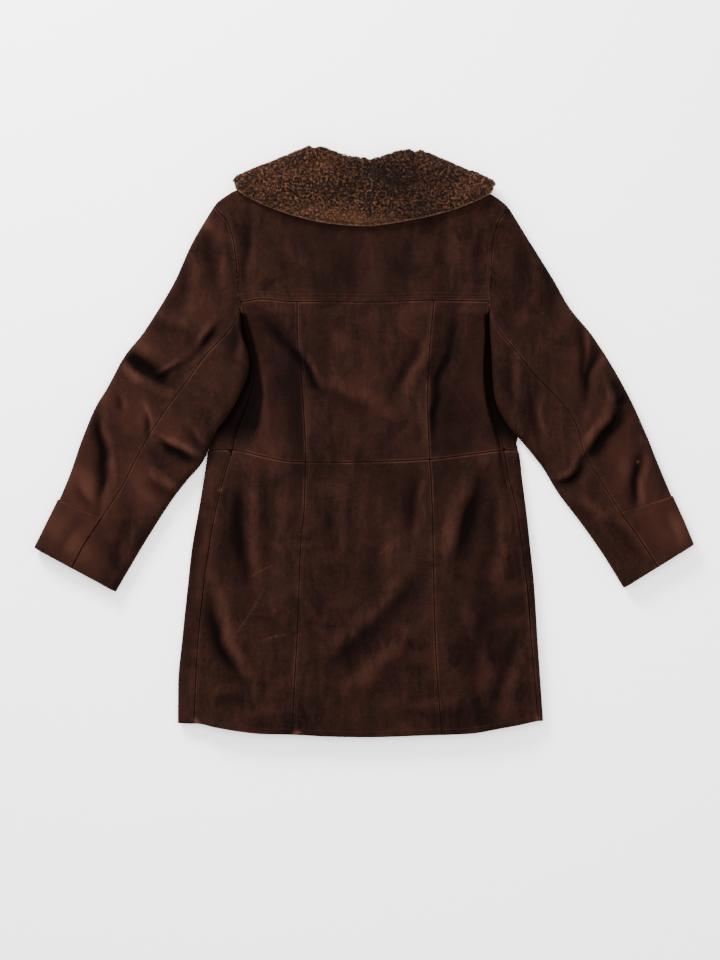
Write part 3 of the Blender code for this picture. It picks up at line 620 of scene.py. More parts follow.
def skin(name, points, creases, seams, stitched, wall=HIDE, upright=1, seed=0.0, edges=(),
         recess_shade=False, allowance=0.0):
    """One sheepskin panel from a grid of points on its outer face. seams are its sewn
    borders, edges its free ones, and stitched gives the topstitch rows' distances."""
    normals = surface_normals(points)
    if upright > 0:
        seen = normals[..., 2][points[..., 2] > np.percentile(points[..., 2], 60)].mean()
    else:
        seen = -normals[..., 2][points[..., 2] <= np.percentile(points[..., 2], 40)].mean()
    if seen < 0:
        normals = -normals
    facing = np.clip(normals[..., 2], 0, 1)
    x, y, z = (points[..., k].ravel() for k in range(3))
    shape = points.shape[:2]

    def waves(height, length, shift):
        return height * ripple(x, y, z, length, seed + shift)

    fold = crease_field(creases, x + waves(SWAY, SWAY_LENGTH, 40), y + waves(SWAY, SWAY_LENGTH, 60))
    fold = fold.reshape(shape)
    # broad patches painted lighter or darker: partly the nap's own tone, partly painted light and shade
    shade = shade_field(SHADES, x, y).reshape(shape)
    off = border_distances(points)
    near = np.full(shape, 1e3)
    uneven = (waves(SWELL, SWELL_LENGTH, 0) + waves(CHOP, CHOP_LENGTH, 7)).reshape(shape)
    relief = (fold + uneven) * facing
    for side in seams:
        near = np.minimum(near, off[side])
        pucker = waves(PUCKER, PUCKER_LENGTH, 3).reshape(shape)
        relief -= GROOVE * np.clip(1 - off[side] / GROOVE_WIDTH, 0, 1) ** 2
        relief += facing * pucker * np.exp(-((off[side] - PUCKER_PLACE) / PUCKER_PLACE) ** 2)
    for side in edges:
        near = np.minimum(near, off[side] + 0.9)
        relief -= TURN * np.clip(1 - off[side] / TURN_WIDTH, 0, 1) ** 2 * facing
    for side, distance in stitched:
        relief -= DENT * facing * np.exp(-((off[side] - distance) / DENT_WIDTH) ** 2)
    mark = np.clip(crease_field(MARKS, x, y), 0, 0.8).reshape(shape)
    # straight up on the flat parts, so that neighbours stay together at their seams
    upward = mix(normals, np.array([0, 0, 1.0]), ease((facing[..., None] - 0.6) / 0.3))
    placed = points + upward * relief[..., None]
    placed[..., 2] = np.maximum(placed[..., 2], 0)
    if allowance:
        level = ease((facing[:1] - 0.8) / 0.15)
        row = placed[:1] + level[..., None] * np.array([-allowance, 0, 0])
        row[..., 2] = mix(row[..., 2], TUCKED_Z, 0.6 * level)
        placed, shape = np.concatenate([row, placed]), (shape[0] + 1, shape[1])
        fold, facing, near, mark, shade, normals = (
            np.concatenate([grid[:1], grid]) for grid in (fold, facing, near, mark, shade, normals))
    mesh, i, j = grid_mesh(name, shape[1] - 1, shape[0] - 1, placed)
    piece = link(name, mesh)
    # painted shade: the troughs of the creases are painted dark
    hollow = np.clip(-fold / FULL_HOLLOW, 0, 1) * facing
    if recess_shade:
        # painted shade: under the arms, where the side turns down and lies in the sleeve's shade, it is
        # painted dark
        low = np.clip((31 - points[..., 2]) / 8, 0, 1)
        low *= ease((points[..., 1] + 20) / 50) * ease((214 - points[..., 1]) / 10)
        hollow = np.maximum(hollow, low)
    # painted highlight on the tops of the folds, which are also rubbed
    ridge = np.clip(fold / FULL_RIDGE, 0, 1) * facing
    paint(mesh, hollow=hollow[j, i], edge=near[j, i], ridge=ridge[j, i], mark=(mark * facing)[j, i],
          shade=shade[j, i])
    smooth(mesh)
    inside = np.empty(len(mesh.polygons) * 3)
    mesh.polygons.foreach_get("normal", inside)
    if (inside.reshape(-1, 3) * normals[:-1, :-1].reshape(-1, 3)).sum() < 0:
        mesh.flip_normals()
    mesh.materials.append(suede)
    mesh.materials.append(wool)
    thick = piece.modifiers.new("hide and wool", "SOLIDIFY")
    thick.thickness = wall * MM
    thick.offset = -1
    thick.material_offset = 1
    thick.material_offset_rim = 0
    if allowance:
        # the wall thins towards the seam that it is tucked under
        group = piece.vertex_groups.new(name="wall")
        share = np.concatenate([0 * off["bottom"][:1], off["bottom"]]) / THINNING
        share = np.clip(share, 0.15, 1)[j, i]
        for step in range(1, 11):
            group.add(np.flatnonzero(np.round(share * 10) == step).tolist(), step / 10, "REPLACE")
        thick.vertex_group = "wall"
    return piece, placed, normals, off


# Stitches are short linen threads, each laid in its own dent.
STITCH_LENGTH = 2.7
STITCH_STEP = 3.9
STITCH_WIDTH = 0.55

STITCH_LIFT = 0.12

thread = material("waxed linen thread", {"Base Color": colour("2c1810"), "Roughness": 0.8,
                                         "Specular IOR Level": 0.1})


def seam_path(placed, normals, off, side, distance, first=0.0, last=1.0):
    """Points and normals along a panel at one distance from a border."""
    gap, spots, faces = off[side], placed, normals
    if side in ("bottom", "top"):
        gap, spots, faces = gap.T, placed.transpose(1, 0, 2), normals.transpose(1, 0, 2)
    rows = range(int(first * (len(gap) - 1)), int(last * (len(gap) - 1)) + 1)
    path, ups = [], []
    for k in rows:
        order = np.argsort(gap[k])
        share = np.interp(distance, gap[k][order], np.arange(len(order)))
        low = int(min(share, len(order) - 2))
        t = share - low
        path.append(mix(spots[k][order[low]], spots[k][order[low + 1]], t))
        ups.append(mix(faces[k][order[low]], faces[k][order[low + 1]], t))
    return np.array(path), np.array(ups)


def sew(name, runs):
    """All the stitches of one panel as one joined mesh; runs are paths with normals."""
    bm = bmesh.new()
    bmesh.ops.create_icosphere(bm, subdivisions=1, radius=0.5)
    bm.verts.ensure_lookup_table()
    shape = np.array([v.co[:] for v in bm.verts])
    faces = np.array([[v.index for v in f.verts] for f in bm.faces])
    bm.free()
    shape = shape * (STITCH_LENGTH, STITCH_WIDTH * 1.5, STITCH_WIDTH)
    verts, polys = [], []
    for path, ups in runs:
        steps = np.concatenate([[0], np.cumsum(np.linalg.norm(np.diff(path, axis=0), axis=1))])
        marks = np.arange(STITCH_STEP, steps[-1] - STITCH_STEP / 2, STITCH_STEP)
        spots, further, up = (np.stack([np.interp(at, steps, line[:, k]) for k in range(3)], axis=1)
                              for at, line in ((marks, path), (marks + 1, path), (marks, ups)))
        ahead = further - spots
        ahead /= np.maximum(np.linalg.norm(ahead, axis=1, keepdims=True), 1e-9)
        beside = np.cross(up, ahead)
        for spot, a, b, c in zip(spots, ahead, beside, up):
            polys.append(faces + len(verts) * len(shape))
            verts.append(spot + c * STITCH_LIFT + shape @ np.array([a, b, c]))
            verts[-1][:, 2] = np.maximum(verts[-1][:, 2], 0)
    mesh = bpy.data.meshes.new(name)
    mesh.from_pydata((np.concatenate(verts) * MM).tolist(), [], np.concatenate(polys).tolist())
    smooth(mesh)
    mesh.materials.append(thread)
    dress(link(name, mesh))


FINE = 3.2          # grid spacing on the back and the sleeves, mm
NEAR_SEAM = (0, 1.0, 2.1, 3.4, 4.9, 6.6, 8.6)


def spread(length):
    """Shares of a length, closer together at both ends, where the seams are."""
    near = np.array(NEAR_SEAM) / length
    middle = np.linspace(near[-1], 1 - near[-1], int((1 - 2 * near[-1]) * length / FINE) + 2)
    return np.concatenate([near[:-1], middle, 1 - near[-2::-1]])


def between(first, last, low, high, wide, tall):
    """A panel's points between two columns and two rows of the back."""
    u, v = np.meshgrid(spread(wide), spread(tall))

    def column(y):
        return mix(first(y), last(y), u)

    def row(x):
        return mix(low(x), high(x), v)

    x, y = meet(column, row)
    return np.stack([x, y, back_height(x, y)], axis=2)


def line(column):
    return lambda y: body(column, y)


def cross(name):
    return lambda x: read(CROSS, "x", name, x)


def shoulder(side):
    return lambda x: read(SHOULDER, "x", side, x)


ALL_SEWN = ("left", "right", "bottom", "top")
HEMMED = ("left", "right", "top")
# name, columns, rows, width and length of the cut, sewn borders, free borders, topstitch rows
BACK_PANELS = (
    ("back_yoke", "seam_l", "seam_r", "yoke", "shoulder", 440, 200, ALL_SEWN, (),
     (("bottom", 6.5), ("bottom", 12), ("left", 6), ("right", 6))),
    ("back_center_upper", "prin_l", "prin_r", "waist", "yoke", 218, 256, ALL_SEWN, (),
     (("left", 5.5), ("right", 5.5))),
    ("back_side_upper_left", "seam_l", "prin_l", "waist", "yoke", 118, 256, ALL_SEWN, (), ()),
    ("back_side_upper_right", "prin_r", "seam_r", "waist", "yoke", 118, 256, ALL_SEWN, (), ()),
    ("back_center_lower", "prin_l", "prin_r", "hem", "waist", 240, 440, HEMMED, ("bottom",),
     (("left", 5.5), ("right", 5.5), ("bottom", 9))),
    ("back_side_lower_left", "seam_l", "prin_l", "hem", "waist", 160, 445, HEMMED, ("bottom",),
     (("left", 5.5), ("bottom", 9))),
    ("back_side_lower_right", "prin_r", "seam_r", "hem", "waist", 155, 445, HEMMED, ("bottom",),
     (("right", 5.5), ("bottom", 9))),
)

for name, first, last, low, high, wide, tall, seams, edges, rows in BACK_PANELS:
    top = shoulder("back") if high == "shoulder" else cross(high)
    points = between(line(first), line(last), cross(low), top, wide, tall)
    piece, placed, normals, off = skin(name + "_skin", points, CREASES, seams, rows, seed=11.0,
                                       edges=edges, recess_shade="side" in name)
    dress(piece, name)
    if rows:
        sew(name + "_stitches", [seam_path(placed, normals, off, side, gap) for side, gap in rows])

# ---------------------------------------------------------------------------
# Fronts. Each is an upper and a lower skin that wraps round the side from the
# side seam and lies face down underneath, the right one on top of the left
# when worn, so nearest the floor here.
# ---------------------------------------------------------------------------

CHANNEL = 3.4
OVERLAP_Z = 8.2
OVERLAP_X = 35
HIDE_GAP = 0.8
ARMPIT_ROW = 210
TUCK = 10.0            # how far the side goes in under the sleeve
ROUND_SIDE, ACROSS_FRONT = 14, 48                      # grid steps

FRONT_CREASES = table(
    "x0 y0 xm ym x1 y1 width depth lip",
    (-262, -80, -270, -160, -276, -260, 8, -2.0, 0.6),
    (-284, -300, -281, -360, -286, -430, 7, -1.2, 0.6),
    (262, -150, 268, -220, 270, -300, 6, -1.2, 0.5),
)


def front_floor(x, y, outer):
    """Height of the outer face of a front where it lies underneath."""
    if outer:
        strip = CHANNEL * ease((50 - x) / 10)
        return np.maximum(strip, front_lift(x, y))
    strip = OVERLAP_Z * ease((x + 62) / 16)
    raised = ease((x + 62) / 16) * ease(front_lift(x, y) / 3)
    return np.maximum(strip, front_lift(x, y)) + (HIDE + HIDE_GAP) * raised


def front_points(hand, low, high, outer, wrap, across, tall):
    """A front's points: wrap columns round the side, then across the floor side."""
    out = -1 if hand == "_l" else 1
    v = np.linspace(0, 1, tall + 1)

    def row(x):
        return mix(low(x), high(x), v[:, None])

    ring = np.zeros((tall + 1, wrap + 1))
    seam_x, seam_y = meet(lambda y: body("seam" + hand, y) + ring, row)
    angle = np.radians(90 - 180 * np.arange(wrap + 1) / wrap)[None, :]
    height = back_height(seam_x, seam_y)
    reach = np.abs(body("out" + hand, seam_y) - seam_x)
    side_z = height / 2 + height / 2 * np.sin(angle)
    tuck = TUCK * np.cos(angle) ** 0.4 * ease((10 - side_z) / 6)
    tuck = tuck * ease((seam_y + 4) / 16) * ease((ARMPIT_ROW - seam_y) / 6)
    side = np.stack([seam_x + out * (reach * np.cos(angle) + tuck), seam_y, side_z], axis=2)
    t = np.linspace(0, 1, across + 1)[None, 1:] + ring[:, :1]
    under_x, under_y = meet(lambda y: mix(body("seam" + hand, y), -out * OVERLAP_X, t), row)
    level = front_floor(under_x, under_y, outer)
    below_roll = read(SHOULDER, "x", "back", under_x) - SHOULDER_ROLL
    top = back_height(under_x, np.minimum(under_y, below_roll))
    seam = (top + front_lift(under_x, under_y)) / 2 - SHOULDER_GAP
    level = mix(level, seam, shoulder_turn(under_x, under_y, "front"))
    under = np.stack([under_x, under_y, level], axis=2)
    return np.concatenate([side, under], axis=1)


def other_side(borders):
    """The same borders on a panel whose columns run the other way."""
    swap = {"left": "right", "right": "left"}
    return tuple(swap.get(side, side) for side in borders)


def joined(name, pieces):
    """Open skins made one, sewn where their borders share corners."""
    bm = bmesh.new()
    for piece in pieces:
        bm.from_mesh(piece.data)
    bmesh.ops.remove_doubles(bm, verts=bm.verts, dist=0.3 * MM)
    keeper = pieces[0]
    bm.to_mesh(keeper.data)
    bm.free()
    for piece in pieces[1:]:
        bpy.data.objects.remove(piece)
    keeper.name = name
    return keeper


# part, seams below and above, grid rows, sewn borders and free borders
FRONT_PARTS = (
    ("lower", "hem", "waist", 92, ("left", "top"), ("bottom", "right")),
    ("upper", "waist", "underarm", 50, ("left", "bottom"), ("right",)),
    ("chest", "underarm", "shoulder", 40, ("left", "top"), ("right",)),
)

for name, hand, outer in (("left", "_l", False), ("right", "_r", True)):
    made = {}
    for part, low, high, tall, borders, free in FRONT_PARTS:
        top = shoulder("front") if high == "shoulder" else cross(high)
        wrap = 1 if part == "chest" else ROUND_SIDE
        points = front_points(hand, cross(low), top, outer, wrap, ACROSS_FRONT, tall)
        if part == "chest":
            points = points[:, 1:]
        if hand == "_r":
            points, borders, free = points[:, ::-1], other_side(borders), other_side(free)
        made[part] = skin("front_" + part + "_" + name + "_skin", points, FRONT_CREASES, borders, (),
                          seed=23.0, edges=free, upright=-1, recess_shade=part == "upper")[0]
    upper = joined("front_upper_" + name + "_skin", [made["upper"], made["chest"]])
    dress(made["lower"], "front_lower_" + name)
    dress(upper, "front_upper_" + name)

# ---------------------------------------------------------------------------
# Sleeves. Two skins each, laid flat: the top sleeve goes round the outer edge,
# the under sleeve round the inner one, and a band is sewn on at the cuff.
# ---------------------------------------------------------------------------

SLEEVE_LEFT = table(
    "n a_x a_y b_x b_y seam under high",
    (0, -238.5, 381, -197, 210, 0.97, 0.75, 28),
    (1, -274, 322, -195, 176, 0.855, 0.72, 28),
    (2, -306, 253, -183.5, 139, 0.69, 0.68, 28),
    (3, -351, 180, -187, 105, 0.58, 0.62, 27),
    (4, -382, 141, -209, 57, 0.557, 0.58, 27),
    (5, -410, 90, -238, 15, 0.532, 0.55, 26),
    (6, -431, 55, -257, -29, 0.508, 0.52, 26),
    (7, -452, 4, -283, -60, 0.512, 0.50, 25),
    (8, -470, -48, -309, -94, 0.513, 0.50, 24),
    (9, -488, -91, -345, -150, 0.483, 0.50, 24),
    (10, -507, -130, -372, -195, 0.455, 0.50, 24),
    (11, -526, -168, -397, -238, 0.454, 0.50, 24),
)
SLEEVE_RIGHT = table(
    "n a_x a_y b_x b_y seam under high",
    (0, 233, 379, 201.5, 210, 0.97, 0.75, 28),
    (1, 267, 323, 203.5, 172, 0.88, 0.72, 28),
    (2, 303, 265, 205.5, 139, 0.776, 0.68, 28),
    (3, 329, 219, 207, 105, 0.671, 0.64, 28),
    (4, 367, 172, 212, 66, 0.599, 0.60, 27),
    (5, 401, 119, 231, 28, 0.531, 0.56, 27),
    (6, 430, 66, 255, 1, 0.52, 0.54, 26),
    (7, 455, 10, 287, -39, 0.60, 0.52, 25),
    (8, 471, -30, 312, -80, 0.579, 0.50, 24),
    (9, 494, -85, 350, -130, 0.574, 0.50, 24),
    (10, 512, -125, 385, -180, 0.546, 0.50, 24),
    (11, 528, -163, 417, -232, 0.515, 0.50, 24),
)
BAND_START = 9
BAND = 2.0
BAND_GAP = 0.3
CUFF_END = 11          # the last station
ALLOWANCE = 7.0        # of the top of a sleeve, tucked under the body
SLEEVE_ROWS, BAND_ROWS = 180, 32
COLUMNS = {"top": 96, "under": 62}
LEAST_Z = 0.05

SLEEVE_CREASES = table(
    "x0 y0 xm ym x1 y1 width depth lip",
    (-388, 144, -356, 118, -312, 92, 8, -7.5, -2.4),
    (-330, 96, -318, 106, -282, 130, 5, -2.6, 1.6),
    (-350, 70, -338, 50, -338, 26, 4, 2.2, 0),
    (-346, 44, -344, 26, -346, 4, 4, -3.6, 0.8),
    (-394, 78, -391, 64, -388, 50, 5, -2.8, 0.8),
    (-430, 58, -418, -10, -414, -60, 7, -5.0, 1.8),
    (-414, -40, -418, -80, -424, -112, 7, -3.4, 1.2),
    (-232, 190, -248, 172, -262, 146, 5, -5.0, -1.8),
    (-262, 150, -272, 136, -286, 128, 4, -2.6, 1.0),
    (-206, 190, -204, 160, -212, 130, 6, -2.6, 1.0),
    (-322, -4, -300, -14, -262, -34, 6, -5.2, 2.2),
    (-330, 10, -316, -2, -306, -20, 4, -2.2, 0.8),
    (-280, 20, -268, 4, -262, -14, 6, -2.4, 1.2),
    (-356, -56, -330, -72, -300, -92, 9, -2.2, 1.6),
    (-460, -60, -452, -90, -430, -110, 7, -2.4, 0.8),
    (-300, 310, -284, 250, -296, 200, 13, -2.2, 1.0),
    (-250, 350, -244, 290, -232, 232, 9, -2.2, 1.0),
    (-330, 200, -300, 176, -276, 172, 9, -1.8, 0.8),
    (-370, -120, -386, -150, -398, -196, 7, -2.0, 0.8),
    (-452, -120, -470, -150, -486, -176, 8, -1.6, 0.8),
    (350, -24, 396, 8, 410, 66, 8, -7.5, 2.6),
    (411, 58, 412, 84, 394, 104, 6, -4.2, 1.4),
    (344, 200, 352, 160, 350, 108, 4, -3.2, 1.2),
    (380, 160, 352, 116, 354, 58, 7, -4.6, 1.6),
    (306, -66, 344, -64, 350, -28, 6, -5.0, 1.8),
    (440, -12, 437, -60, 428, -110, 7, -4.8, 1.6),
    (330, -96, 356, -110, 376, -140, 8, -2.0, 1.0),
    (250, 336, 262, 280, 250, 218, 11, -2.2, 1.0),
    (292, 296, 308, 244, 300, 196, 11, -2.0, 0.9),
    (274, 84, 262, 40, 280, 0, 7, -2.6, 1.2),
    (232, 150, 226, 110, 236, 64, 7, -2.2, 0.9),
    (392, -128, 424, -150, 444, -190, 8, -1.8, 0.9),
    (480, -110, 490, -140, 500, -170, 7, -1.4, 0.7),
)


def station(rows, key, s):
    """A column between the stations, on a smooth curve through all of them."""
    values = rows[key]
    i = np.clip(np.floor(s).astype(int), 0, len(values) - 2)
    t = s - i
    before, start, end, after = (values[np.clip(i + k, 0, len(values) - 1)] for k in (-1, 0, 1, 2))
    return start + t / 2 * (end - before + t * (2 * before - 5 * start + 4 * end - after
                                                + t * (3 * (start - end) + after - before)))


def armhole_point(hand, share):
    """A place down the armhole by its share of the way from the shoulder."""
    x, top = meet(lambda y: body("seam" + hand, y) + np.zeros(1), shoulder("back"))
    y = np.linspace(float(top[0]), ARMPIT_ROW, 120)
    x = body("seam" + hand, y)
    steps = np.concatenate([[0], np.cumsum(np.hypot(np.diff(x), np.diff(y)))])
    return np.interp(share, steps / steps[-1], x), np.interp(share, steps / steps[-1], y)


def tube(hand, rows, round_it, s, upper, lift=0.0, swell=0.0):
    """Points of a flattened tube: round_it is the way round from its outer edge, mm."""
    out = -1 if hand == "_l" else 1
    a_x, a_y, b_x, b_y = (station(rows, key, s) for key in ("a_x", "a_y", "b_x", "b_y"))
    width = np.hypot(b_x - a_x, b_y - a_y)
    radius = (station(rows, "high", s) - lift) / 2
    corner = radius * math.pi / 2
    total = width - 2 * radius + 2 * corner
    near, far = round_it < corner, round_it > total - corner
    angle = np.where(near, round_it, np.where(far, total - round_it, corner)) / radius
    off = radius - (radius + swell) * np.cos(angle)
    across = np.where(near, off, np.where(far, width - off, round_it - corner + radius))
    share = across / width
    x, y = mix(a_x, b_x, share), mix(a_y, b_y, share)
    fade = np.maximum(0, 1 - s / 4) ** 2
    seam_x, seam_y = armhole_point(hand, np.clip(share, 0, 1))
    x = x + fade * (seam_x - mix(rows["a_x"][0], rows["b_x"][0], share)) + 0.3 * out * (s <= 0)
    y = y + fade * (seam_y - mix(rows["a_y"][0], rows["b_y"][0], share))
    z = lift + radius + np.where(upper, 1, -1) * (radius + swell) * np.sin(angle)
    return np.stack([x, y, z], axis=-1)


def way_round(rows, s, share, lift=0.0):
    """How far round a share of the way across is, and how far round the inner edge is."""
    width = np.hypot(station(rows, "b_x", s) - station(rows, "a_x", s),
                     station(rows, "b_y", s) - station(rows, "a_y", s))
    radius = (station(rows, "high", s) - lift) / 2
    corner = radius * math.pi / 2
    total = width - 2 * radius + 2 * corner
    across = share * width
    bend = radius * np.arccos(np.clip(1 - np.minimum(across, width - across) / radius, 0, 1))
    far = np.where(across > width / 2, total - bend, bend)
    return np.where((across > radius) & (across < width - radius), across - radius + corner, far), total


def sleeve_skin(name, hand, rows, part, columns, tall, seams, edges, stitched,
                first=0.0, swell=0.0, wall=HIDE):
    """A skin of a sleeve, or its band, between the seam that shows and the hidden one."""
    share = spread(columns * FINE)[None, :]
    s = mix(first, CUFF_END, spread(tall * FINE))[:, None] + 0 * share
    lift = (BAND + BAND_GAP) * np.clip(s - BAND_START + 0.001, 0, 1) ** 0.25
    if swell:
        lift = (BAND + BAND_GAP) + 0 * s
    seam, under = station(rows, "seam", s), read(rows, "n", "under", s)
    if part == "top":
        up, total = way_round(rows, s, seam, lift)
        low, total = way_round(rows, s, under, lift)
        at = mix(-up, low, share)
        upper, at = at < 0, np.abs(at)
    else:
        lift = 0.0
        up, total = way_round(rows, s, seam)
        low, total = way_round(rows, s, under)
        at = mix(up, 2 * total - low, share)
        upper = at < total
        at = np.where(upper, at, 2 * total - at)
    points = tube(hand, rows, at, s, upper, lift, swell)
    points[..., 2] = np.maximum(points[..., 2], LEAST_Z)
    if hand == "_r":
        points, seams = points[:, ::-1], other_side(seams)
        stitched = tuple((*other_side([side]), gap) for side, gap in stitched)
    tucked = 0.0 if first else (ALLOWANCE if hand == "_r" else -ALLOWANCE)
    return skin(name, points, SLEEVE_CREASES, seams, stitched, seed=31.0, edges=edges, wall=wall,
                allowance=tucked)


for side, hand, rows in (("left", "_l", SLEEVE_LEFT), ("right", "_r", SLEEVE_RIGHT)):
    for part, rows_sewn in (("top", (("left", 5.5),)), ("under", ())):
        name = part + "_sleeve_" + side
        piece, placed, normals, off = sleeve_skin(name + "_skin", hand, rows, part, COLUMNS[part],
                                                  SLEEVE_ROWS, ("left", "bottom"), ("top",), rows_sewn)
        dress(piece, name)
        if rows_sewn:
            border = "left" if hand == "_l" else "right"
            sew("sleeve_stitches_" + side, [seam_path(placed, normals, off, border, 5.5, 0.01, 0.97)])
    piece, placed, normals, off = sleeve_skin("cuff_band_" + side + "_skin", hand, rows, "top",
                                              COLUMNS["top"], BAND_ROWS, ("left",), ("top", "bottom"),
                                              (("bottom", 7), ("top", 9)),
                                              first=BAND_START, swell=BAND + BAND_GAP, wall=BAND)
    dress(piece, "cuff_band_" + side)
    sew("cuff_stitches_" + side, [seam_path(placed, normals, off, border, gap)
                                  for border, gap in (("bottom", 5), ("bottom", 10), ("top", 8))])

# ---------------------------------------------------------------------------
# Collar. Two halves of wool-side-out sheepskin, each folded over at the roll.
# The back fall shows; the front one is pressed under the coat. Each half is a
# skin, its wool side painted dark as the shade under the curls, with a pale cut
# edge, and thousands of short curls standing on it.
# ---------------------------------------------------------------------------

COLLAR_LEFT = table(
    "n turn roll_x roll_y edge_x edge_y neck_x neck_y",
    (0, 90, 10, 452, 10, 345.5, 10, 425.5),
    (1, 90, -18, 454, -35, 347, -13, 425.5),
    (2, 90, -42, 461, -85, 355, -36, 427.5),
    (3, 90, -60, 467, -136, 370, -56, 430.5),
    (4, 90, -71, 471, -178, 388, -70, 434),
    (5, 90, -76, 464, -204, 404, -79, 438),
    (6, 52, -74, 457, -202, 405, -79, 438),
    (7, 18, -74, 457, -202, 405, -79, 438),
    (8, -18, -74, 457, -202, 405, -79, 438),
    (9, -52, -74, 457, -202, 405, -79, 438),
    (10, -90, -72, 454, -198, 402, -77, 436),
    (11, -90, -66, 440, -170, 348, -74, 422),
    (12, -90, -58, 420, -120, 302, -72, 402),
    (13, -90, -42, 394, -74, 278, -50, 374),
    (14, -90, -22, 376, -38, 280, -27, 358),
    (15, -90, -4, 368, -6, 310, -4, 352),
)
COLLAR_RIGHT = table(
    "n turn roll_x roll_y edge_x edge_y neck_x neck_y",
    (0, 90, 10, 452, 10, 345.5, 10, 425.5),
    (1, 90, 28, 453, 45, 350, 24, 425.5),
    (2, 90, 46, 461, 90, 358, 42, 427.5),
    (3, 90, 62, 465, 140, 370, 60, 430.5),
    (4, 90, 74, 467, 180, 386, 73, 432),
    (5, 90, 79, 459, 205, 398, 80, 436),
    (6, 52, 77, 451, 204, 399, 80, 436),
    (7, 18, 77, 451, 204, 399, 80, 436),
    (8, -18, 77, 451, 204, 399, 80, 436),
    (9, -52, 77, 451, 204, 399, 80, 436),
    (10, -90, 76, 448, 200, 398, 78, 434),
    (11, -90, 68, 436, 172, 346, 75, 420),
    (12, -90, 59, 418, 120, 302, 72, 402),
    (13, -90, 42, 394, 74, 278, 50, 374),
    (14, -90, 22, 376, 38, 280, 27, 358),
    (15, -90, 4, 368, 6, 310, 4, 352),
)
LAST_TURN = 15         # the last row of the tables
SOFTEN = 0.6           # of a row, to either side, over which the rows are averaged
COLLAR_MID = 19.75
COLLAR_CORE = 11.25
FALL_ABOVE = 9.5
FALL_BELOW = 7.0
STAND = 4.5
ROLL_GAP = 1.3
FALL_COLUMNS, ROLL_COLUMNS, NECK_COLUMNS = 26, 10, 3
COLLAR_ROWS = 120
CUT_EDGE = 2.6
MERGE = 0.02           # corners nearer than this are one
CURL_HEIGHT = 3.8
CURL_TIPS = (0.1, 0.1, 0.1, 0.65, 0.65, 0.65, 1.0)      # how near the tip each corner of a curl is
CURLS_ABOVE, CURLS_BELOW = 15500, 1900
CURL_KINDS = 12
TIP_TURN = 8.5         # the row at the collar's tip, where the back fall ends
COMB, LEAN, SCATTER, PARTING = 1.3, 0.45, 0.25, 2.0      # what turns the curls from upright
CENTRE_BACK = 10       # x of the seam at the centre back
FLOOR_GAP = 0.2        # the curls underneath are pressed flat at this height

cut_edge = material("pale cut edge of the hide", {"Base Color": colour("6a4a38"), "Roughness": 0.9})


def collar_points(rows, out, outer):
    """One face of a collar half: across the fall, round the roll and into the neck."""
    n = np.linspace(0, LAST_TURN, COLLAR_ROWS + 1)[:, None]
    near = np.linspace(-SOFTEN, SOFTEN, 9)
    room = np.clip(np.minimum(n, LAST_TURN - n) / SOFTEN, 0, 1)
    row = {key: np.mean([read(rows, "n", key, n + shift * room) for shift in near], axis=0)
           for key in rows if key != "n"}
    turn = np.radians(row["turn"])
    fall = mix(FALL_BELOW, FALL_ABOVE, (row["turn"] + 90) / 180)
    bend = (fall + ROLL_GAP + STAND) / 2
    centre = COLLAR_CORE + fall - bend
    edge = np.stack([row["edge_x"] - row["roll_x"], row["edge_y"] - row["roll_y"]], axis=-1)
    neck = np.stack([row["neck_x"] - row["roll_x"], row["neck_y"] - row["roll_y"]], axis=-1)
    edge_length = np.linalg.norm(edge, axis=-1)
    neck_length = np.maximum(np.linalg.norm(neck, axis=-1), 1.0)
    t = np.linspace(0, 1, FALL_COLUMNS + 1)[None, :-1]
    start = edge_length - (CUT_EDGE if outer else 0.0)
    fall_reach = mix(start, bend, t)
    drop = np.clip(1 - (start - fall_reach) / 8, 0, 1) ** 2
    fall_height = COLLAR_CORE + (fall * (1 - 0.5 * drop) if outer else 0 * drop)
    angle = np.radians(90 - 180 * np.arange(ROLL_COLUMNS + 1) / ROLL_COLUMNS)[None, :]
    radius = bend if outer else ROLL_GAP / 2
    middle = centre if outer else COLLAR_CORE - ROLL_GAP / 2
    roll_reach = bend - radius * np.cos(angle) + (0.0 if outer else 1.0)
    roll_height = middle + radius * np.sin(angle)
    s = np.linspace(0, 1, NECK_COLUMNS + 1)[None, 1:]
    neck_reach = mix(bend, np.maximum(neck_length, bend + 3), s)
    neck_height = COLLAR_CORE - ROLL_GAP - (STAND if outer else 0.0) + 0 * neck_reach
    reach = np.concatenate([fall_reach + 0 * n, roll_reach + 0 * n, neck_reach + 0 * n], axis=1)
    height = np.concatenate([fall_height + 0 * n, roll_height + 0 * n, neck_height + 0 * n], axis=1)
    weight = np.concatenate([np.zeros(FALL_COLUMNS), np.linspace(0, 1, ROLL_COLUMNS + 1),
                             np.ones(NECK_COLUMNS)])
    way = mix((edge / edge_length[..., None]), (neck / neck_length[..., None]), weight[None, :, None])
    side = edge[40, 0] / edge_length[40]
    away = (out * abs(side[1]), abs(side[0]))
    flat = np.where(np.abs(row["turn"]) > 89.99, 0.0, np.cos(turn)) * height
    x = row["roll_x"] + way[..., 0] * reach + away[0] * flat
    y = row["roll_y"] + way[..., 1] * reach + away[1] * flat
    return np.stack([x, y, COLLAR_MID + height * np.sin(turn)], axis=-1)


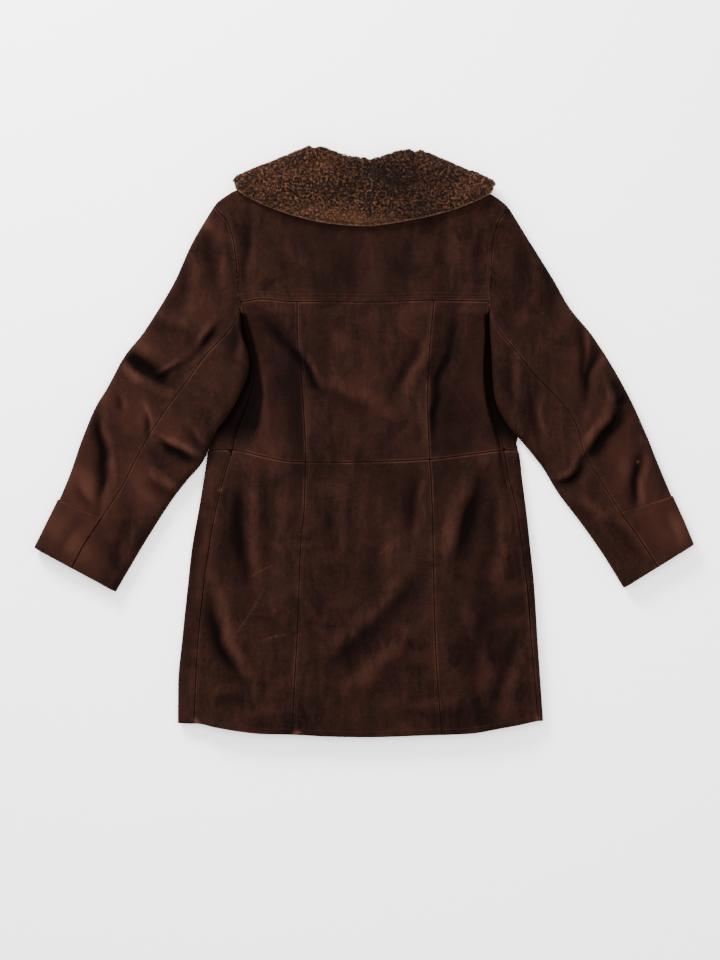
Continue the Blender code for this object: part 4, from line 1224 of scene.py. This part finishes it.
def curl_shapes(random, kinds):
    """Little bent tapering locks standing on the origin, their corners and their faces."""
    shapes = []
    for _ in range(kinds):
        turns = random.uniform(0.45, 0.85) * 2 * math.pi
        size = random.uniform(0.5, 0.95)
        t = np.linspace(0, 1, 3)[:, None]
        spine = np.concatenate([size * (1 - np.cos(turns * t)), size * np.sin(turns * t),
                                CURL_HEIGHT * np.sin(t * math.pi * 0.6)], axis=1)
        ring = np.radians([0, 120, 240])
        thick = 0.62 * (1 - 0.6 * t[:2])
        corners = (spine[:2, None, :] + thick[:, :, None]
                   * np.stack([np.cos(ring), np.sin(ring), 0.4 * np.sin(ring)], axis=1)[None])
        shapes.append(np.concatenate([corners.reshape(-1, 3), spine[2:]]))
    faces = []
    for a, b in ((0, 1), (1, 2), (2, 0)):
        faces += [(a, b, b + 3), (a, b + 3, a + 3), (a + 3, b + 3, 6)]
    return np.array(shapes), np.array(faces)


# Broad places where the wool is painted darker or lighter, in the same form as on the suede.
WOOL_SHADES = table(
    "x y wide tall lean amount",
    (62, 420, 56, 22, 0, -1.15),
    (30, 440, 30, 14, 0, -0.5),
    (-50, 402, 36, 10, -10, -0.8),
    (100, 380, 40, 14, 15, -0.7),
    (-150, 416, 40, 20, 20, 0.3),
    (-60, 366, 60, 12, -6, 0.5),
    (20, 356, 80, 8, 0, 0.5),
    (150, 396, 50, 12, 20, 0.4),
    (-60, 446, 40, 14, 20, 0.3),
)


def fur(name, points, normals, count, low_row, high_row, last_column, random, crease):
    """Curls standing on a grid of points between two of its rows."""
    p = points[low_row:high_row + 1, :last_column]
    up = normals[low_row:high_row + 1, :last_column]
    size = np.linalg.norm(np.cross(p[1:, :-1] - p[:-1, :-1], p[:-1, 1:] - p[:-1, :-1]), axis=2)
    edges = np.cumsum(size.ravel()) / size.sum()
    cell = np.searchsorted(edges, random.random(count))
    j, i = np.divmod(cell, size.shape[1])
    u, v = random.random((2, count, 1))
    spots = (p[j, i] * (1 - u) * (1 - v) + p[j, i + 1] * u * (1 - v)
             + p[j + 1, i] * (1 - u) * v + p[j + 1, i + 1] * u * v)
    stand = up[j, i]
    lock_x, lock_y, clump = (ripple(*spots.T, length, seed)
                             for length, seed in ((9, 3.0), (9, 57.0), (5, 91.0)))
    near = crease(spots)
    parted = PARTING * near * np.sign(spots[:, 0] - CENTRE_BACK)
    comb = np.stack([COMB * lock_x + parted, COMB * lock_y - LEAN, 0 * lock_x], axis=1)
    stand = stand + comb + SCATTER * random.standard_normal((count, 3))
    stand /= np.linalg.norm(stand, axis=1, keepdims=True)
    helper = np.cross(stand, (0.0, 1.0, 0.01))
    helper /= np.linalg.norm(helper, axis=1, keepdims=True)
    other = np.cross(stand, helper)
    spin = random.random(count) * 2 * math.pi
    first = helper * np.cos(spin)[:, None] + other * np.sin(spin)[:, None]
    second = np.cross(stand, first)
    shapes, faces = curl_shapes(random, CURL_KINDS)
    pick = random.integers(0, len(shapes), count)
    scale = (0.85 + 0.3 * random.random(count) + 0.3 * clump) * (1 - 0.6 * near)
    axes = np.stack([first, second, stand], axis=1) * scale[:, None, None]
    corners = spots[:, None, :] + np.einsum("nvk,nkd->nvd", shapes[pick], axes)
    corners[..., 2] = np.maximum(corners[..., 2], FLOOR_GAP)
    total = len(shapes[0])
    every = faces[None] + (np.arange(count) * total)[:, None, None]
    mesh = bpy.data.meshes.new(name)
    mesh.from_pydata((corners.reshape(-1, 3) * MM).tolist(), [], every.reshape(-1, 3).tolist())
    smooth(mesh)
    light = random.random(count) * 0.7 + 0.3 * (clump + 0.5)
    # painted shade: curls in the crease between the halves and by the neck point are painted dark
    tint = shade_field(WOOL_SHADES, spots[:, 0], spots[:, 1]) - 2.5 * near
    paint(mesh, tip=np.tile(CURL_TIPS, count), tone=np.repeat(light, total),
          shade=np.repeat(tint, total))
    mesh.materials.append(wool)
    dress(link(name, mesh))


def collar_crease(spots):
    """How near the crease at the centre back or the one by the neck point."""
    x, y = spots[:, 0], spots[:, 1]
    middle = np.exp(-((x - CENTRE_BACK) / 3.6) ** 2) * ease((y - 350) / 60)
    side = np.exp(-((x - 79 + (450 - y) * 0.1) / 2.0) ** 2) * ease((y - 424) / 12)
    return np.maximum(middle, side)


for side, rows, out, seed in (("left", COLLAR_LEFT, -1, 5), ("right", COLLAR_RIGHT, 1, 6)):
    face = collar_points(rows, out, True)
    back = collar_points(rows, out, False)
    normals = surface_normals(face)
    if normals[10, 8, 2] < 0:
        normals = -normals
    x, y, z = (face[..., k].ravel() for k in range(3))
    rolls = (ripple(x, y, z, 26, 2.0) + 0.5 * ripple(x, y, z, 9, 8.0)).reshape(face.shape[:2])
    face = face + normals * (0.9 * rolls)[..., None]
    shape = face.shape[:2]
    # face and back as one closed loop of columns round the edge and the neck
    loop = np.concatenate([face, back[:, ::-1], face[:, :1]], axis=1)
    mesh, i, j = grid_mesh("collar_" + side + "_skin", loop.shape[1] - 1, loop.shape[0] - 1, loop)
    for coat in (wool, suede, cut_edge):
        mesh.materials.append(coat)
    bm = bmesh.new()
    bm.from_mesh(mesh)
    last = loop.shape[1] - 2
    for cell, f in enumerate(bm.faces):
        column = cell % (last + 1)
        f.material_index = 0 if column < shape[1] - 1 else (2 if column == last else 1)
        f.smooth = True
    bmesh.ops.remove_doubles(bm, verts=bm.verts, dist=MERGE * MM)
    bmesh.ops.holes_fill(bm, edges=[e for e in bm.edges if e.is_boundary], sides=0)
    bmesh.ops.recalc_face_normals(bm, faces=bm.faces)
    bm.to_mesh(mesh)
    bm.free()
    dress(link(mesh.name, mesh), "collar_" + side)
    random = np.random.default_rng(seed)
    rows_above = int(COLLAR_ROWS * TIP_TURN / LAST_TURN)
    fur("collar_" + side + "_wool", face, normals, CURLS_ABOVE, 0, rows_above,
        FALL_COLUMNS + 7, random, collar_crease)
    fur("collar_" + side + "_wool_below", face, normals, CURLS_BELOW, rows_above, COLLAR_ROWS,
        shape[1], random, lambda spots: np.zeros(len(spots)))

# ---------------------------------------------------------------------------
# Buttons. Four horn buttons on the closed front, dished, with a raised rim.
# ---------------------------------------------------------------------------

BUTTON_ROWS = (190, 90, -10, -110)
BUTTON_HEIGHT = 3.0
BUTTON_STEPS = 40
# radius and height of the outline, from the middle of the face to that of the back
BUTTON_OUTLINE = ((0, 2.0), (2.0, 2.0), (8.6, 2.0), (9.4, 2.3), (10.4, 2.95), (12.2, 3.0),
                  (13.4, 2.6), (14.0, 1.7), (13.8, 0.8), (12.6, 0.15), (9.0, 0.0), (0, 0.0))

horn = material("polished brown horn", {"Roughness": 0.32})
grain = horn.node_tree
streaks = noise_at(grain, add(grain, "ShaderNodeTexCoord").outputs["Object"], 6, 3.0, 0.6, 2.0)
grain.links.new(blend(grain, remap(grain, streaks, 0.35, 0.7), "1c100a", "5a3a24"),
                grain.nodes["Principled BSDF"].inputs["Base Color"])

for number, middle_y in enumerate(BUTTON_ROWS, 1):
    bm = bmesh.new()
    rim = [bm.verts.new((r * MM, 0, (BUTTON_HEIGHT - h) * MM)) for r, h in BUTTON_OUTLINE]
    for a, b in zip(rim, rim[1:]):
        bm.edges.new((a, b))
    bmesh.ops.spin(bm, geom=bm.verts[:] + bm.edges[:], cent=(0, 0, 0), axis=(0, 0, 1),
                   angle=2 * math.pi, steps=BUTTON_STEPS, use_merge=True)
    bmesh.ops.remove_doubles(bm, verts=bm.verts, dist=MERGE * MM)
    bmesh.ops.recalc_face_normals(bm, faces=bm.faces)
    bmesh.ops.translate(bm, verts=bm.verts, vec=(0, middle_y * MM, 0))
    mesh = bpy.data.meshes.new("button")
    bm.to_mesh(mesh)
    bm.free()
    smooth(mesh)
    mesh.materials.append(horn)
    dress(link("horn_button_" + str(number), mesh), "button_" + str(number))
